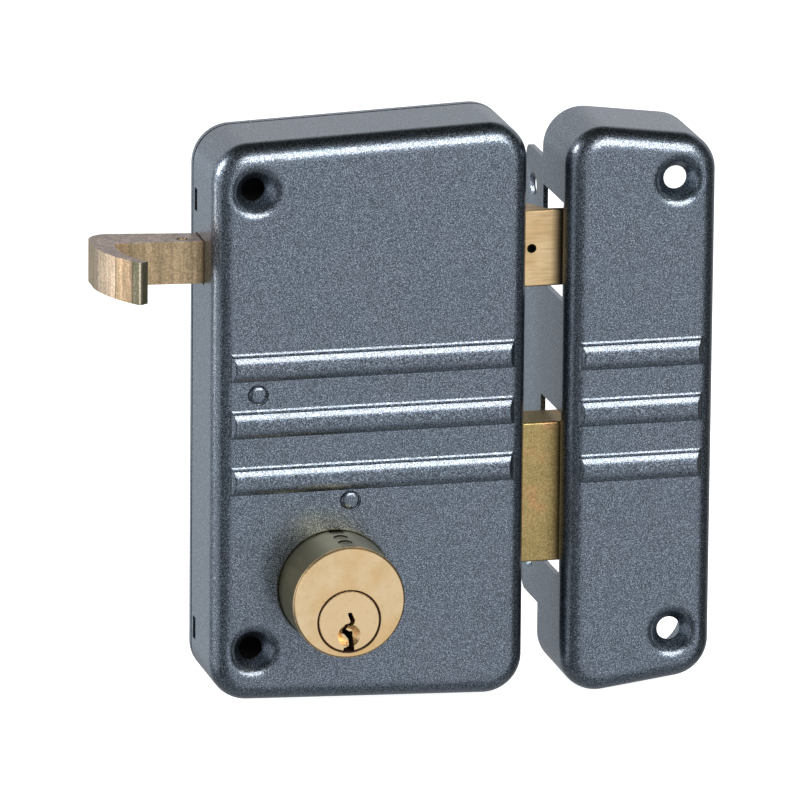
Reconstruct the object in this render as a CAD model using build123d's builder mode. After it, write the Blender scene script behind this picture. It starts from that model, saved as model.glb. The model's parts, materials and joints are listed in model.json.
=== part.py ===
"""Rim night latch with its keeper: case, latch and pull, deadbolt, cylinder and keeper.

X points to the keeper, Y back into the door and Z up. The origin is the centre of the
case's back face, so everything on the room side lies at negative Y. A depth is the
distance in front of that face, measured towards the room.
"""
from build123d import *
from math import acos, atan2, cos, degrees, pi, radians, sin, sqrt, tan
import os

# ---- driving dimensions, millimetres ----
SHEET = 1.1                      # thickness of the pressed sheet
CASE_LEFT, CASE_RIGHT = -35.1, 35.1
CASE_HALF_LEFT = 62.2            # half height of the case at its left edge
CASE_HALF_RIGHT = 64.7           # and at its right edge, beside the keeper
CASE_DEPTH = 23.0                # front face of case and keeper
CORNER_R = 8.5                   # outline corners
BEND_R = 4.5                     # pressed edge round the front face
PLATE = 1.5                      # base plate thickness
COVER_GAP = 0.7                  # shell edge to base plate

KEEPER_LEFT, KEEPER_RIGHT = 43.8, 77.5
KEEPER_HALF_LEFT, KEEPER_HALF_RIGHT = 64.9, 60.6
KEEPER_Z = -1.65                 # the keeper sits this much lower than the case
FLANGE_REACH = 14.3              # how far the flange runs back past the door face
FLANGE_HALF = 50.75
FLANGE_HOLE_Y, FLANGE_HOLE_HALF, FLANGE_HOLE_R = 8.0, 42.5, 2.1
FLANGE_Z = 0.25

RIB_TOPS = (16.2, 3.5, -9.2)     # upper edge of each rib
RIB_HEIGHT, RIB_RISE = 6.0, 1.0
RIB_CHANNEL, RIB_CHANNEL_DROP = 2.9, 3.35      # width of the channel behind a rib, its middle's drop
CASE_RIB_LEFT, CASE_RIB_RIGHT = -31.5, 32.1
KEEPER_RIB_LEFT, KEEPER_RIB_RIGHT = 46.4, 74.5
TABS = ((-1, 46.8), (-1, -49.9), (1, 51.5), (1, -49.9))   # side and height of the shell's tabs
TAB_SLOT = (3.5, 6.0)            # depths of the slots that the tabs catch in

SCREW_R = 2.6                    # fixing screw holes
CASE_SCREW_X, CASE_SCREW_Z, CASE_SCREW_HALF = -26.0, 0.7, 51.5
KEEPER_SCREW_X, KEEPER_SCREW_Z, KEEPER_SCREW_HALF = 68.4, -1.1, 51.1
DISH_R, DISH_DEPTH = 6.5, 3.3    # funnel pressed in round a screw hole
DISH_ROLL = (4.05, 1.27)         # radius and depth where its rolled edge turns into a cone
DISH_ROLL_BACK = (4.94, 1.91)    # the same place on the sheet's rear side
DISH_SEAT = 3.9                  # depth of its inner end, where a sleeve meets it

BOLT_REAR, BOLT_FRONT = 5.7, 15.7        # depths of both bolts
LATCH_Z, LATCH_HEIGHT = 34.6, 17.2
LATCH_BACK_X, LATCH_TIP_X = 16.0, 44.7
LATCH_TRAVEL = 9.5
DEADBOLT_Z, DEADBOLT_HEIGHT = -20.6, 31.6
DEADBOLT_BACK_X, DEADBOLT_TIP_X = 24.0, 54.4
BOLT_CLEARANCE = 0.15

PULL_REAR, PULL_FRONT, PULL_HEIGHT = 5.0, 12.2, 9.4
PULL_END_X = -24.0
PULL_PIN_X, PULL_PIN_R = -39.3, 0.95
PULL_GAP = 0.3                           # pull to the edge of its opening
TAIL_REAR, TAIL_FRONT, TAIL_HEIGHT = 8.2, 10.8, 6.0
TAIL_LEFT, TAIL_RIGHT = -41.0, 37.3
TAIL_MIDDLE = (TAIL_REAR + TAIL_FRONT) / 2
GRUB_X, GRUB_R = 37.4, 1.0

LEVER_X, LEVER_Z = -25.3, 7.0            # lever pivot rivet
LEVER_REAR, LEVER_FRONT = 2.5, 4.5
LEVER_POST_R = 2.5
DRIVE_PIN_R = 1.5
GUIDE_X, GUIDE_Z, GUIDE_POST_R = -4.6, -17.9, 2.0
RIVET_HEAD_R, RIVET_TAIL_R = 2.15, 1.5

STOP_X, STOP_THICK = 0.0, 2.0            # spring stop, the face the spring bears on
SPRING_R, SPRING_WIRE_R, SPRING_TURNS = 3.9, 0.4, 6
STOP_RIVETS = ((STOP_X - 8, LATCH_Z - 2.7), (STOP_X - 8, LATCH_Z + 2.7))
STOP_RIVET_R = 1.2
LEAF_LEFT, LEAF_CREST_X, LEAF_THICK, LEAF_WIDTH = 8.0, 27.0, 0.4, 6.0
LEAF_RIVET = (11.0, DEADBOLT_Z)

CYLINDER_X, CYLINDER_Z, CYLINDER_R = -8.0, -36.9, 12.5
CYLINDER_REAR, CYLINDER_FRONT = 11.5, 36.7
PLUG_Z, PLUG_R, PLUG_REAR = -41.1, 6.85, 9.3
BORE_GAP = 0.03
CHAMBER_DEPTHS = [32.4 - 4.1 * i for i in range(5)]
CHAMBER_R, PIN_R, KEY_PIN_R = 1.5, 1.42, 1.36
KEY_CUTS = (2, 0, 3, 1, 2)               # key pin lengths, in steps
DRIVER_LENGTH, CAP_THICK, CAP_SINK = 3.2, 1.1, 0.2
DRIVER_LOW = PLUG_Z + PLUG_R + BORE_GAP + 0.04
CLIP_REAR, CLIP_FRONT, CLIP_GROOVE_R = 10.6, 11.3, 6.0
CYLINDER_SCREW_OFFSET, CYLINDER_SCREW_R = 9.3, 1.5
JOURNAL_R, NECK_R, CAM_R = 2.6, 2.3, 7.4
OUTER_HOLE_HALF, OUTER_HOLE_R = 12.0, 2.05

GEAR_MODULE, GEAR_TEETH = 0.6, 10
PRESSURE_ANGLE = radians(25)
ADDENDUM, DEDENDUM = 0.8 * GEAR_MODULE, 1.05 * GEAR_MODULE
BACKLASH = 0.10                          # taken off each tooth
GEAR_PITCH_R = GEAR_MODULE * GEAR_TEETH / 2
TOOTH_PITCH = pi * GEAR_MODULE
TOOTH_HALF = TOOTH_PITCH / 4 - BACKLASH / 2
RACK_REAR, RACK_FRONT = 6.0, 9.0
RACK_LEFT, RACK_RIGHT = -12.2, 33.5
RACK_TOP, RACK_ARM_LOW = -9.0, -33.0
RACK_RIVETS = ((28.5, -14.0), (28.5, -28.0))
RACK_RIVET_R = 1.6
RACK_TEETH = 14
BOLT_TRAVEL = 18.8                       # deadbolt travel, one turn of the key


def layer(depth):
    """Upright plane at a depth in front of the door, facing the room."""
    return Plane.XZ.offset(depth)


def prism(rear, front, *points, mode=Mode.ADD):
    """Polygon in X and Z, from one depth to another."""
    with BuildSketch(layer(rear)) as profile:
        with BuildLine():
            Polyline(*points, close=True)
        make_face()
    extrude(profile.sketch, amount=front - rear, mode=mode)


def block(x_low, x_high, z_low, z_high, rear, front, mode=Mode.ADD):
    """Rectangular block between two X, two Z and two depths."""
    with BuildSketch(layer(rear)) as profile:
        with Locations(((x_low + x_high) / 2, (z_low + z_high) / 2)):
            Rectangle(x_high - x_low, z_high - z_low)
    extrude(profile.sketch, amount=front - rear, mode=mode)


def disc(x, z, radius, rear, front, mode=Mode.ADD, taper=0):
    """Round stretch of a turned piece whose axis is along Y."""
    with BuildSketch(layer(rear)) as profile:
        with Locations((x, z)):
            Circle(radius)
    extrude(profile.sketch, amount=front - rear, taper=taper, mode=mode)


def pressed_box(left, right, half_left, half_right, centre_z, rear, inset):
    """Tapered box with round corners and a round front edge, drawn in by an inset."""
    with BuildPart() as box:
        with BuildSketch(layer(rear)) as outline:
            with BuildLine():
                Polyline(
                    (left + inset, centre_z - half_left + inset),
                    (right - inset, centre_z - half_right + inset),
                    (right - inset, centre_z + half_right - inset),
                    (left + inset, centre_z + half_left - inset),
                    close=True,
                )
            make_face()
            fillet(outline.vertices(), CORNER_R - inset)
        extrude(amount=CASE_DEPTH - inset - rear)
        fillet(box.faces().sort_by(Axis.Y)[0].edges(), BEND_R - inset)
    return box.part


def rib(top_z, left, right):
    """Pressed rib: a fine lip along its upper edge, a rounded ridge and a crisp lower crease."""
    face = -CASE_DEPTH
    crest = face - RIB_RISE
    with BuildPart() as ridge:
        with BuildSketch(Plane.YZ.offset(left)):
            with BuildLine():
                Polyline(
                    (face + 0.5, top_z),
                    (face, top_z),
                    (face - 0.34, top_z - 0.30),
                    (face - 0.34, top_z - 0.42),
                    (face - 0.16, top_z - 0.66),
                    (face - 0.62, top_z - 1.0),
                )
                ThreePointArc(
                    (face - 0.62, top_z - 1.0),
                    (crest + 0.08, top_z - 1.62),
                    (crest, top_z - 2.4),
                )
                Line((crest, top_z - 2.4), (crest, top_z - 3.9))
                ThreePointArc(
                    (crest, top_z - 3.9),
                    (crest + 0.14, top_z - 5.0),
                    (crest + 0.52, top_z - RIB_HEIGHT),
                )
                Polyline(
                    (crest + 0.52, top_z - RIB_HEIGHT),
                    (face + 0.5, top_z - RIB_HEIGHT),
                    (face + 0.5, top_z),
                )
            make_face()
        extrude(amount=right - left)
        with BuildSketch(Plane.XY.offset(top_z + 1)):
            with BuildLine():
                Polyline(
                    (left, face + 1),
                    (left, face),
                    (left + 1.1, crest),
                    (right - 1.1, crest),
                    (right, face),
                    (right, face + 1),
                    close=True,
                )
            make_face()
        extrude(amount=-RIB_HEIGHT - 2, mode=Mode.INTERSECT)
    return ridge.part


def ribs(left, right, shift):
    """Three ribs as separate solids, ready to join to a front face."""
    return [rib(top + shift, left, right) for top in RIB_TOPS]


def hollow_ribs(left, right, shift):
    """Round-ended channels on the inside of the sheet behind the ribs."""
    inside = CASE_DEPTH - SHEET
    with BuildSketch(layer(inside - 0.1)) as channels:
        with Locations(*[((left + right) / 2, top + shift - RIB_CHANNEL_DROP) for top in RIB_TOPS]):
            SlotOverall(right - left - 4, RIB_CHANNEL)
    extrude(channels.sketch, amount=0.9, mode=Mode.SUBTRACT)


def dish(x, z, mode):
    """Funnel round a screw hole: the boss inside the sheet, or the hollow outside it."""
    centre = Plane(origin=(x, -CASE_DEPTH, z), x_dir=(1, 0, 0), z_dir=(0, 0, 1))
    with BuildSketch(centre) as profile:
        with BuildLine():
            if mode == Mode.ADD:
                TangentArc((DISH_R, SHEET), DISH_ROLL_BACK, tangent=(-1, 0))
                Polyline(
                    DISH_ROLL_BACK,
                    (SCREW_R + 1.05, DISH_SEAT - 0.1),
                    (SCREW_R + 1.05, DISH_SEAT),
                    (0, DISH_SEAT),
                    (0, SHEET / 2),
                    (DISH_R, SHEET / 2),
                    (DISH_R, SHEET),
                )
            else:
                TangentArc((DISH_R, 0), DISH_ROLL, tangent=(-1, 0))
                Polyline(
                    DISH_ROLL, (SCREW_R, DISH_DEPTH), (0, DISH_DEPTH), (0, -1), (DISH_R, -1), (DISH_R, 0)
                )
        make_face()
    revolve(profile.sketch, axis=Axis((x, 0, z), (0, 1, 0)), mode=mode)


def dished_holes(x, centre_z, half):
    """Two funnelled fixing holes, one above the other."""
    places = (centre_z + half, centre_z - half)
    for z in places:
        dish(x, z, Mode.ADD)
    for z in places:
        dish(x, z, Mode.SUBTRACT)
        disc(x, z, SCREW_R, CASE_DEPTH - 4, CASE_DEPTH + 1, mode=Mode.SUBTRACT)


# ---- case ----
def make_lock_cover():
    case = (CASE_LEFT, CASE_RIGHT, CASE_HALF_LEFT, CASE_HALF_RIGHT, 0)
    rib_ends = (CASE_RIB_LEFT, CASE_RIB_RIGHT)
    outer = pressed_box(*case, PLATE + COVER_GAP, 0)
    inner = pressed_box(*case, PLATE, SHEET)
    ridges = ribs(*rib_ends, 0)
    with BuildPart() as cover:
        add(outer)
        add(inner, mode=Mode.SUBTRACT)
        add(ridges)
        hollow_ribs(*rib_ends, 0)
        dished_holes(CASE_SCREW_X, CASE_SCREW_Z, CASE_SCREW_HALF)
        disc(CYLINDER_X, CYLINDER_Z, CYLINDER_R + 0.1, CASE_DEPTH - 3, CASE_DEPTH + 1, mode=Mode.SUBTRACT)
        for x, z in ((LEVER_X, LEVER_Z), (GUIDE_X, GUIDE_Z)):
            disc(x, z, RIVET_HEAD_R + 0.35, CASE_DEPTH - 0.4, CASE_DEPTH + 1, mode=Mode.SUBTRACT)
            disc(x, z, RIVET_TAIL_R + 0.02, CASE_DEPTH - 3, CASE_DEPTH + 1, mode=Mode.SUBTRACT)
        bolt_openings(CASE_RIGHT - 3, CASE_RIGHT + 1, 0.25)
        pull_half = PULL_HEIGHT / 2 + PULL_GAP
        block(CASE_LEFT - 1, CASE_LEFT + 3, LATCH_Z - pull_half, LATCH_Z + pull_half,
              PULL_REAR - PULL_GAP, PULL_FRONT + PULL_GAP, mode=Mode.SUBTRACT)
        for side, z in TABS:
            x = side * CASE_RIGHT
            block(x - 2.5, x + 2.5, z - 2.5, z + 2.5, *TAB_SLOT, mode=Mode.SUBTRACT)
    return cover


def bolt_openings(x_low, x_high, gap):
    """Openings for latch and deadbolt in an upright wall."""
    for z, height in ((LATCH_Z, LATCH_HEIGHT), (DEADBOLT_Z, DEADBOLT_HEIGHT)):
        block(x_low, x_high, z - height / 2 - gap, z + height / 2 + gap,
              BOLT_REAR - gap, BOLT_FRONT + gap, mode=Mode.SUBTRACT)


def make_base_plate():
    with BuildPart() as plate:
        with BuildSketch(layer(0)) as outline:
            with BuildLine():
                Polyline(
                    (CASE_LEFT, -CASE_HALF_LEFT),
                    (CASE_RIGHT, -CASE_HALF_RIGHT),
                    (CASE_RIGHT, CASE_HALF_RIGHT),
                    (CASE_LEFT, CASE_HALF_LEFT),
                    close=True,
                )
            make_face()
            fillet(outline.vertices(), CORNER_R)
        extrude(amount=PLATE)
        for side, z in TABS:
            wall_x = side * (CASE_RIGHT - SHEET - 0.1 - PLATE / 2)
            nub_x = side * (CASE_RIGHT - SHEET)
            block(wall_x - PLATE / 2, wall_x + PLATE / 2, z - 4, z + 4, PLATE, 7.5)
            block(nub_x - 0.4, nub_x + 0.4, z - 2, z + 2, TAB_SLOT[0] + 0.4, TAB_SLOT[1] - 0.4)
        for z in (CASE_SCREW_Z + CASE_SCREW_HALF, CASE_SCREW_Z - CASE_SCREW_HALF):
            disc(CASE_SCREW_X, z, SCREW_R, -1, PLATE + 1, mode=Mode.SUBTRACT)
        for x, z in ((LEVER_X, LEVER_Z), (GUIDE_X, GUIDE_Z)):
            disc(x, z, RIVET_TAIL_R + 0.02, -1, PLATE + 1, mode=Mode.SUBTRACT)
        disc(CYLINDER_X, PLUG_Z, JOURNAL_R + 0.05, -1, PLATE + 1, mode=Mode.SUBTRACT)
        for side in (-1, 1):
            x = CYLINDER_X + side * CYLINDER_SCREW_OFFSET
            disc(x, PLUG_Z, CYLINDER_SCREW_R + 0.05, -1, PLATE + 1, mode=Mode.SUBTRACT)
            disc(x, PLUG_Z, CYLINDER_SCREW_R + 1.3, 0, 1.25, mode=Mode.SUBTRACT, taper=45)
            disc(CYLINDER_X, PLUG_Z + side * OUTER_HOLE_HALF, OUTER_HOLE_R, -1, PLATE + 1,
                 mode=Mode.SUBTRACT)
        for x, z in (*STOP_RIVETS, LEAF_RIVET):
            disc(x, z, STOP_RIVET_R + 0.02, -1, PLATE + 1, mode=Mode.SUBTRACT)
    return plate


def make_bolt_guide_plate():
    right = CASE_RIGHT - SHEET - 0.15
    with BuildPart() as guide:
        block(right - 1.6, right, -40, 46, PLATE, 17)
        block(right - 7, right, -40, 46, PLATE, PLATE + 1.2)
        bolt_openings(right - 3, right + 1, BOLT_CLEARANCE)
    return guide


def make_screw_sleeves():
    front = CASE_DEPTH - DISH_SEAT - 0.05
    with BuildPart() as sleeves:
        for z in (CASE_SCREW_Z + CASE_SCREW_HALF, CASE_SCREW_Z - CASE_SCREW_HALF):
            disc(CASE_SCREW_X, z, SCREW_R + 1.3, PLATE, front)
            disc(CASE_SCREW_X, z, SCREW_R, PLATE, front, mode=Mode.SUBTRACT)
    return sleeves


def post_rivet(x, z, post_r):
    """Shouldered rivet from the base plate to the shell, with a low domed head outside."""
    inside = CASE_DEPTH - SHEET
    disc(x, z, RIVET_TAIL_R, 0, CASE_DEPTH)
    disc(x, z, post_r, PLATE + 0.03, inside - 0.03)
    seat = Plane(origin=(x, -CASE_DEPTH, z), x_dir=(1, 0, 0), z_dir=(0, 0, 1))
    with BuildSketch(seat) as head:
        with BuildLine():
            Polyline((0, 0.35), (RIVET_HEAD_R, 0.35), (RIVET_HEAD_R, -0.1))
            TangentArc((0, -0.8), (RIVET_HEAD_R, -0.1), tangent=(1, 0))
            Line((0, -0.8), (0, 0.35))
        make_face()
    revolve(head.sketch, axis=Axis((x, 0, z), (0, 1, 0)))


def make_lever_pivot_rivet():
    with BuildPart() as rivet:
        post_rivet(LEVER_X, LEVER_Z, LEVER_POST_R)
        disc(LEVER_X, LEVER_Z, LEVER_POST_R + 1.2, PLATE + 0.03, LEVER_REAR - 0.1)
    return rivet


def make_bolt_guide_rivet():
    with BuildPart() as rivet:
        post_rivet(GUIDE_X, GUIDE_Z, GUIDE_POST_R)
    return rivet


# ---- latch, tail bar and pull ----
def make_latch_bolt():
    low = LATCH_Z - LATCH_HEIGHT / 2
    with BuildPart() as bolt:
        with BuildSketch(Plane.XY.offset(low)):
            with BuildLine():
                Polyline(
                    (36.4, -BOLT_REAR),
                    (LATCH_BACK_X, -BOLT_REAR),
                    (LATCH_BACK_X, -BOLT_FRONT),
                    (LATCH_TIP_X - 0.4, -BOLT_FRONT),
                    (LATCH_TIP_X, -BOLT_FRONT + 0.4),
                    (LATCH_TIP_X, -BOLT_FRONT + 0.9),
                    (40.8, -BOLT_FRONT + 1.2),
                )
                ThreePointArc((40.8, -BOLT_FRONT + 1.2), (38.5, -10.2), (36.4, -BOLT_REAR))
            make_face()
        extrude(amount=LATCH_HEIGHT)
        chamfer(bolt.faces().sort_by(Axis.Y)[0].edges().filter_by(Axis.X), 0.3)
        half = TAIL_HEIGHT / 2 + 0.05
        block(LATCH_BACK_X - 1, TAIL_RIGHT + 0.1, LATCH_Z - half, LATCH_Z + half,
              TAIL_REAR - 0.05, TAIL_FRONT + 0.05, mode=Mode.SUBTRACT)
        disc(GRUB_X, LATCH_Z, GRUB_R + 0.03, TAIL_FRONT, BOLT_FRONT + 1, mode=Mode.SUBTRACT)
    return bolt


def make_latch_grub_screw():
    with BuildPart() as screw:
        disc(GRUB_X, LATCH_Z, GRUB_R, TAIL_FRONT + 0.02, BOLT_FRONT - 0.15)
        with BuildSketch(layer(BOLT_FRONT - 1.6)):
            with Locations((GRUB_X, LATCH_Z)):
                RegularPolygon(0.62, 6)
        extrude(amount=2, mode=Mode.SUBTRACT)
    return screw


def drive_pin_x():
    """The drive pin starts as far right of the lever's pivot as it ends left of it."""
    return LEVER_X + LATCH_TRAVEL / 2


def make_latch_tail_bar():
    half = TAIL_HEIGHT / 2
    with BuildPart() as bar:
        block(TAIL_LEFT, TAIL_RIGHT, LATCH_Z - half, LATCH_Z + half, TAIL_REAR, TAIL_FRONT)
        disc(drive_pin_x(), LATCH_Z, DRIVE_PIN_R + 0.02, TAIL_REAR - 1, TAIL_FRONT + 1, mode=Mode.SUBTRACT)
        upright_pin_hole(TAIL_HEIGHT)
    return bar


def upright_pin_hole(height):
    """Hole for the pin that joins pull and tail bar."""
    with BuildSketch(Plane.XY.offset(LATCH_Z - height)) as hole:
        with Locations((PULL_PIN_X, -TAIL_MIDDLE)):
            Circle(PULL_PIN_R + 0.02)
    extrude(hole.sketch, amount=2 * height, mode=Mode.SUBTRACT)


def make_lever_drive_pin():
    with BuildPart() as pin:
        disc(drive_pin_x(), LATCH_Z, DRIVE_PIN_R, LEVER_REAR + 0.2, TAIL_FRONT)
        disc(drive_pin_x(), LATCH_Z, DRIVE_PIN_R + 0.9, TAIL_FRONT, TAIL_FRONT + 1.2)
    return pin


def make_pull_handle():
    low = LATCH_Z - PULL_HEIGHT / 2
    with BuildPart() as pull:
        with BuildSketch(Plane.XY.offset(low)) as outline:
            with BuildLine():
                Polyline((PULL_END_X, -PULL_FRONT), (PULL_END_X, -PULL_REAR), (-34.8, -PULL_REAR),
                         (-59.1, -0.7), (-59.3, -12.4))
                ThreePointArc((-59.3, -12.4), (-57.2, -20.2), (-52.6, -27.9))
                Line((-52.6, -27.9), (-50.7, -26.7))
                ThreePointArc((-50.7, -26.7), (-53.8, -20.9), (-54.9, -15.0))
                Polyline((-54.9, -15.0), (-54.6, -10.55), (-37.5, -PULL_FRONT),
                         (PULL_END_X, -PULL_FRONT))
            make_face()
            corners = outline.vertices()
            fillet(corners.sort_by_distance((-59.1, -0.7, low))[0], 4.6)
            fillet(corners.sort_by_distance((-54.6, -10.55, low))[0], 1.9)
            fillet(corners.sort_by_distance((-52.6, -27.9, low))[0], 0.7)
            fillet(corners.sort_by_distance((-50.7, -26.7, low))[0], 0.5)
        extrude(amount=PULL_HEIGHT)
        half = TAIL_HEIGHT / 2 + 0.05
        block(TAIL_LEFT - 0.1, PULL_END_X + 1, LATCH_Z - half, LATCH_Z + half,
              TAIL_REAR - 0.05, TAIL_FRONT + 0.05, mode=Mode.SUBTRACT)
        upright_pin_hole(PULL_HEIGHT)
    return pull


def make_handle_pin():
    with BuildPart() as pin:
        with BuildSketch(Plane.XY.offset(LATCH_Z - PULL_HEIGHT / 2)):
            with Locations((PULL_PIN_X, -TAIL_MIDDLE)):
                Circle(PULL_PIN_R)
        extrude(amount=PULL_HEIGHT - 0.1)
        chamfer(pin.edges().filter_by(GeomType.CIRCLE), 0.2)
    return pin


def coil(radius, wire_r, length, turns, start, direction):
    """Open coil spring from a start point along a direction."""
    with BuildPart() as spring:
        with BuildLine() as path:
            Helix(pitch=length / turns, height=length, radius=radius, center=start, direction=direction)
        with BuildSketch(Plane(origin=path.line @ 0, z_dir=path.line % 0)):
            Circle(wire_r)
        sweep(path=path.line, is_frenet=True)
    return spring


def make_latch_spring():
    clear = SPRING_WIRE_R + 0.05
    length = LATCH_BACK_X - STOP_X - 2 * clear
    start = (STOP_X + clear, -TAIL_MIDDLE, LATCH_Z)
    return coil(SPRING_R, SPRING_WIRE_R, length, SPRING_TURNS, start, (1, 0, 0))


def make_spring_stop():
    half = TAIL_HEIGHT / 2 + 0.2
    with BuildPart() as stop:
        block(STOP_X - STOP_THICK, STOP_X, LATCH_Z - 5.2, LATCH_Z + 5.2, PLATE, 15.4)
        block(STOP_X - 12, STOP_X, LATCH_Z - 5.2, LATCH_Z + 5.2, PLATE, PLATE + 1.5)
        block(STOP_X - 3, STOP_X + 1, LATCH_Z - half, LATCH_Z + half,
              TAIL_REAR - 0.2, TAIL_FRONT + 0.2, mode=Mode.SUBTRACT)
        for x, z in STOP_RIVETS:
            disc(x, z, STOP_RIVET_R + 0.02, 0, PLATE + 3, mode=Mode.SUBTRACT)
    return stop


def make_spring_stop_rivets():
    with BuildPart() as rivets:
        for x, z in STOP_RIVETS:
            disc(x, z, STOP_RIVET_R, 0, PLATE + 1.5)
            disc(x, z, STOP_RIVET_R + 0.8, PLATE + 1.5, PLATE + 2.3)
    return rivets


def make_latch_lever():
    reach = LATCH_Z - LEVER_Z
    swing = degrees(atan2(LATCH_TRAVEL / 2, reach))
    toe_reach, toe_angle = 34.0, -6.0
    upper = Location((LEVER_X, LEVER_Z, 0), (0, 0, -swing))
    lower = Location((LEVER_X, LEVER_Z, 0), (0, 0, toe_angle))
    with BuildPart() as lever:
        with BuildSketch(layer(LEVER_REAR)):
            with Locations((LEVER_X, LEVER_Z)):
                Circle(LEVER_POST_R + 3)
            with Locations(upper):
                with Locations((0, reach / 2 + 1)):
                    Rectangle(6.4, reach)
                with Locations((0, reach + 1)):
                    Circle(3.2)
            with Locations(lower):
                with Locations((0, -toe_reach / 2)):
                    Rectangle(5.2, toe_reach)
                with Locations((0, -toe_reach)):
                    Circle(2.6)
            with Locations((LEVER_X, LEVER_Z)):
                Circle(LEVER_POST_R + 0.05, mode=Mode.SUBTRACT)
            with Locations(upper):
                with Locations((0, reach + 0.2)):
                    SlotOverall(2 * DRIVE_PIN_R + 1.6, 2 * DRIVE_PIN_R + 0.2, rotation=90,
                                mode=Mode.SUBTRACT)
        extrude(amount=LEVER_FRONT - LEVER_REAR)
    return lever


# ---- cylinder ----
def make_cylinder_body():
    length = CYLINDER_FRONT - CYLINDER_REAR
    top_z = CYLINDER_Z + CYLINDER_R
    with BuildPart() as body:
        disc(CYLINDER_X, CYLINDER_Z, CYLINDER_R, CYLINDER_REAR, CYLINDER_FRONT)
        chamfer(body.faces().sort_by(Axis.Y)[0].edges(), 0.45)
        disc(CYLINDER_X, PLUG_Z, PLUG_R + BORE_GAP, CYLINDER_REAR - 1, CYLINDER_FRONT + 1,
             mode=Mode.SUBTRACT)
        bore_edge = body.faces().sort_by(Axis.Y)[0].edges().filter_by(GeomType.CIRCLE).sort_by(
            SortBy.RADIUS)[0]
        chamfer(bore_edge, 0.3)
        with BuildSketch(Plane.XY.offset(top_z + 1)):
            with Locations(*[(CYLINDER_X, -depth) for depth in CHAMBER_DEPTHS]):
                Circle(CHAMBER_R)
        extrude(amount=-(top_z + 1 - PLUG_Z - PLUG_R + 0.6), mode=Mode.SUBTRACT)
        for side in (-1, 1):
            x = CYLINDER_X + side * CYLINDER_SCREW_OFFSET
            disc(x, PLUG_Z, CYLINDER_SCREW_R + 0.02, CYLINDER_REAR - 1, CYLINDER_REAR + length / 3,
                 mode=Mode.SUBTRACT)
    return body


def make_cylinder_plug():
    with BuildPart() as plug:
        disc(CYLINDER_X, PLUG_Z, PLUG_R, PLUG_REAR, CYLINDER_FRONT)
        chamfer(plug.faces().sort_by(Axis.Y)[0].edges(), 0.3)
        # ring groove for the clip
        disc(CYLINDER_X, PLUG_Z, PLUG_R + 1, CLIP_REAR, CLIP_FRONT, mode=Mode.SUBTRACT)
        disc(CYLINDER_X, PLUG_Z, CLIP_GROOVE_R, CLIP_REAR, CLIP_FRONT)
        # tapered lead-in round the lower part of the keyway
        disc(CYLINDER_X, PLUG_Z - 3.2, 1.3, CYLINDER_FRONT - 1.3, CYLINDER_FRONT,
             mode=Mode.SUBTRACT, taper=-44)
        keyway(13.0, CYLINDER_FRONT + 1)
        with BuildSketch(Plane.XY.offset(PLUG_Z + PLUG_R + 1)):
            with Locations(*[(CYLINDER_X, -depth) for depth in CHAMBER_DEPTHS]):
                Circle(KEY_PIN_R + 0.05)
        extrude(amount=-PLUG_R - 0.4, mode=Mode.SUBTRACT)
        # cross slot for the pinion's tongue
        block(CYLINDER_X - 4.1, CYLINDER_X + 4.1, PLUG_Z - 0.95, PLUG_Z + 0.95,
              PLUG_REAR - 1, PLUG_REAR + 2, mode=Mode.SUBTRACT)
    return plug


def keyway(rear, front):
    """Warded keyway, open and wider at the bottom of the plug."""
    right = [(0.5, 2.0), (1.3, 0.2), (1.15, -0.5), (0.5, -1.1), (-0.25, -1.1), (-0.4, -2.1),
             (0.3, -2.55), (1.05, -2.55), (1.2, -8.0)]
    left = [(-1.5, -8.0), (-1.2, -5.9), (-0.1, -5.6), (0.15, -5.2), (0.1, -4.35), (-0.8, -3.2),
            (-1.25, -3.05), (-1.35, -2.0), (-1.0, -0.65), (0.15, -0.3), (0.2, 0.2), (-0.3, 1.5),
            (-0.3, 2.0)]
    points = [(CYLINDER_X + x, PLUG_Z + z) for x, z in right + left]
    prism(rear, front, *points, mode=Mode.SUBTRACT)


def make_plug_clip():
    with BuildPart() as clip:
        disc(CYLINDER_X, PLUG_Z, 7.4, CLIP_REAR + 0.05, CLIP_FRONT - 0.05)
        disc(CYLINDER_X, PLUG_Z, CLIP_GROOVE_R + 0.03, CLIP_REAR, CLIP_FRONT, mode=Mode.SUBTRACT)
        block(CYLINDER_X - 2.6, CYLINDER_X + 2.6, PLUG_Z - 9, PLUG_Z, CLIP_REAR, CLIP_FRONT,
              mode=Mode.SUBTRACT)
    return clip


def upright_pins(radius, spans, bevel):
    """Round pins along Z, one in each chamber, from a list of low and high ends."""
    with BuildPart() as pins:
        for depth, (low, high) in zip(CHAMBER_DEPTHS, spans):
            with BuildSketch(Plane.XY.offset(low)):
                with Locations((CYLINDER_X, -depth)):
                    Circle(radius)
            extrude(amount=high - low)
        chamfer(pins.edges().filter_by(GeomType.CIRCLE), bevel)
    return pins


def make_key_pins():
    top = PLUG_Z + sqrt(PLUG_R ** 2 - KEY_PIN_R ** 2) - 0.02
    return upright_pins(KEY_PIN_R, [(PLUG_Z + 1.4 + 0.35 * cut, top) for cut in KEY_CUTS], 0.4)


def make_driver_pins():
    span = (DRIVER_LOW, DRIVER_LOW + DRIVER_LENGTH)
    return upright_pins(PIN_R, [span] * len(CHAMBER_DEPTHS), 0.25)


def make_chamber_caps():
    high = CYLINDER_Z + CYLINDER_R - CAP_SINK
    return upright_pins(CHAMBER_R - 0.03, [(high - CAP_THICK, high)] * len(CHAMBER_DEPTHS), 0.2)


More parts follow.
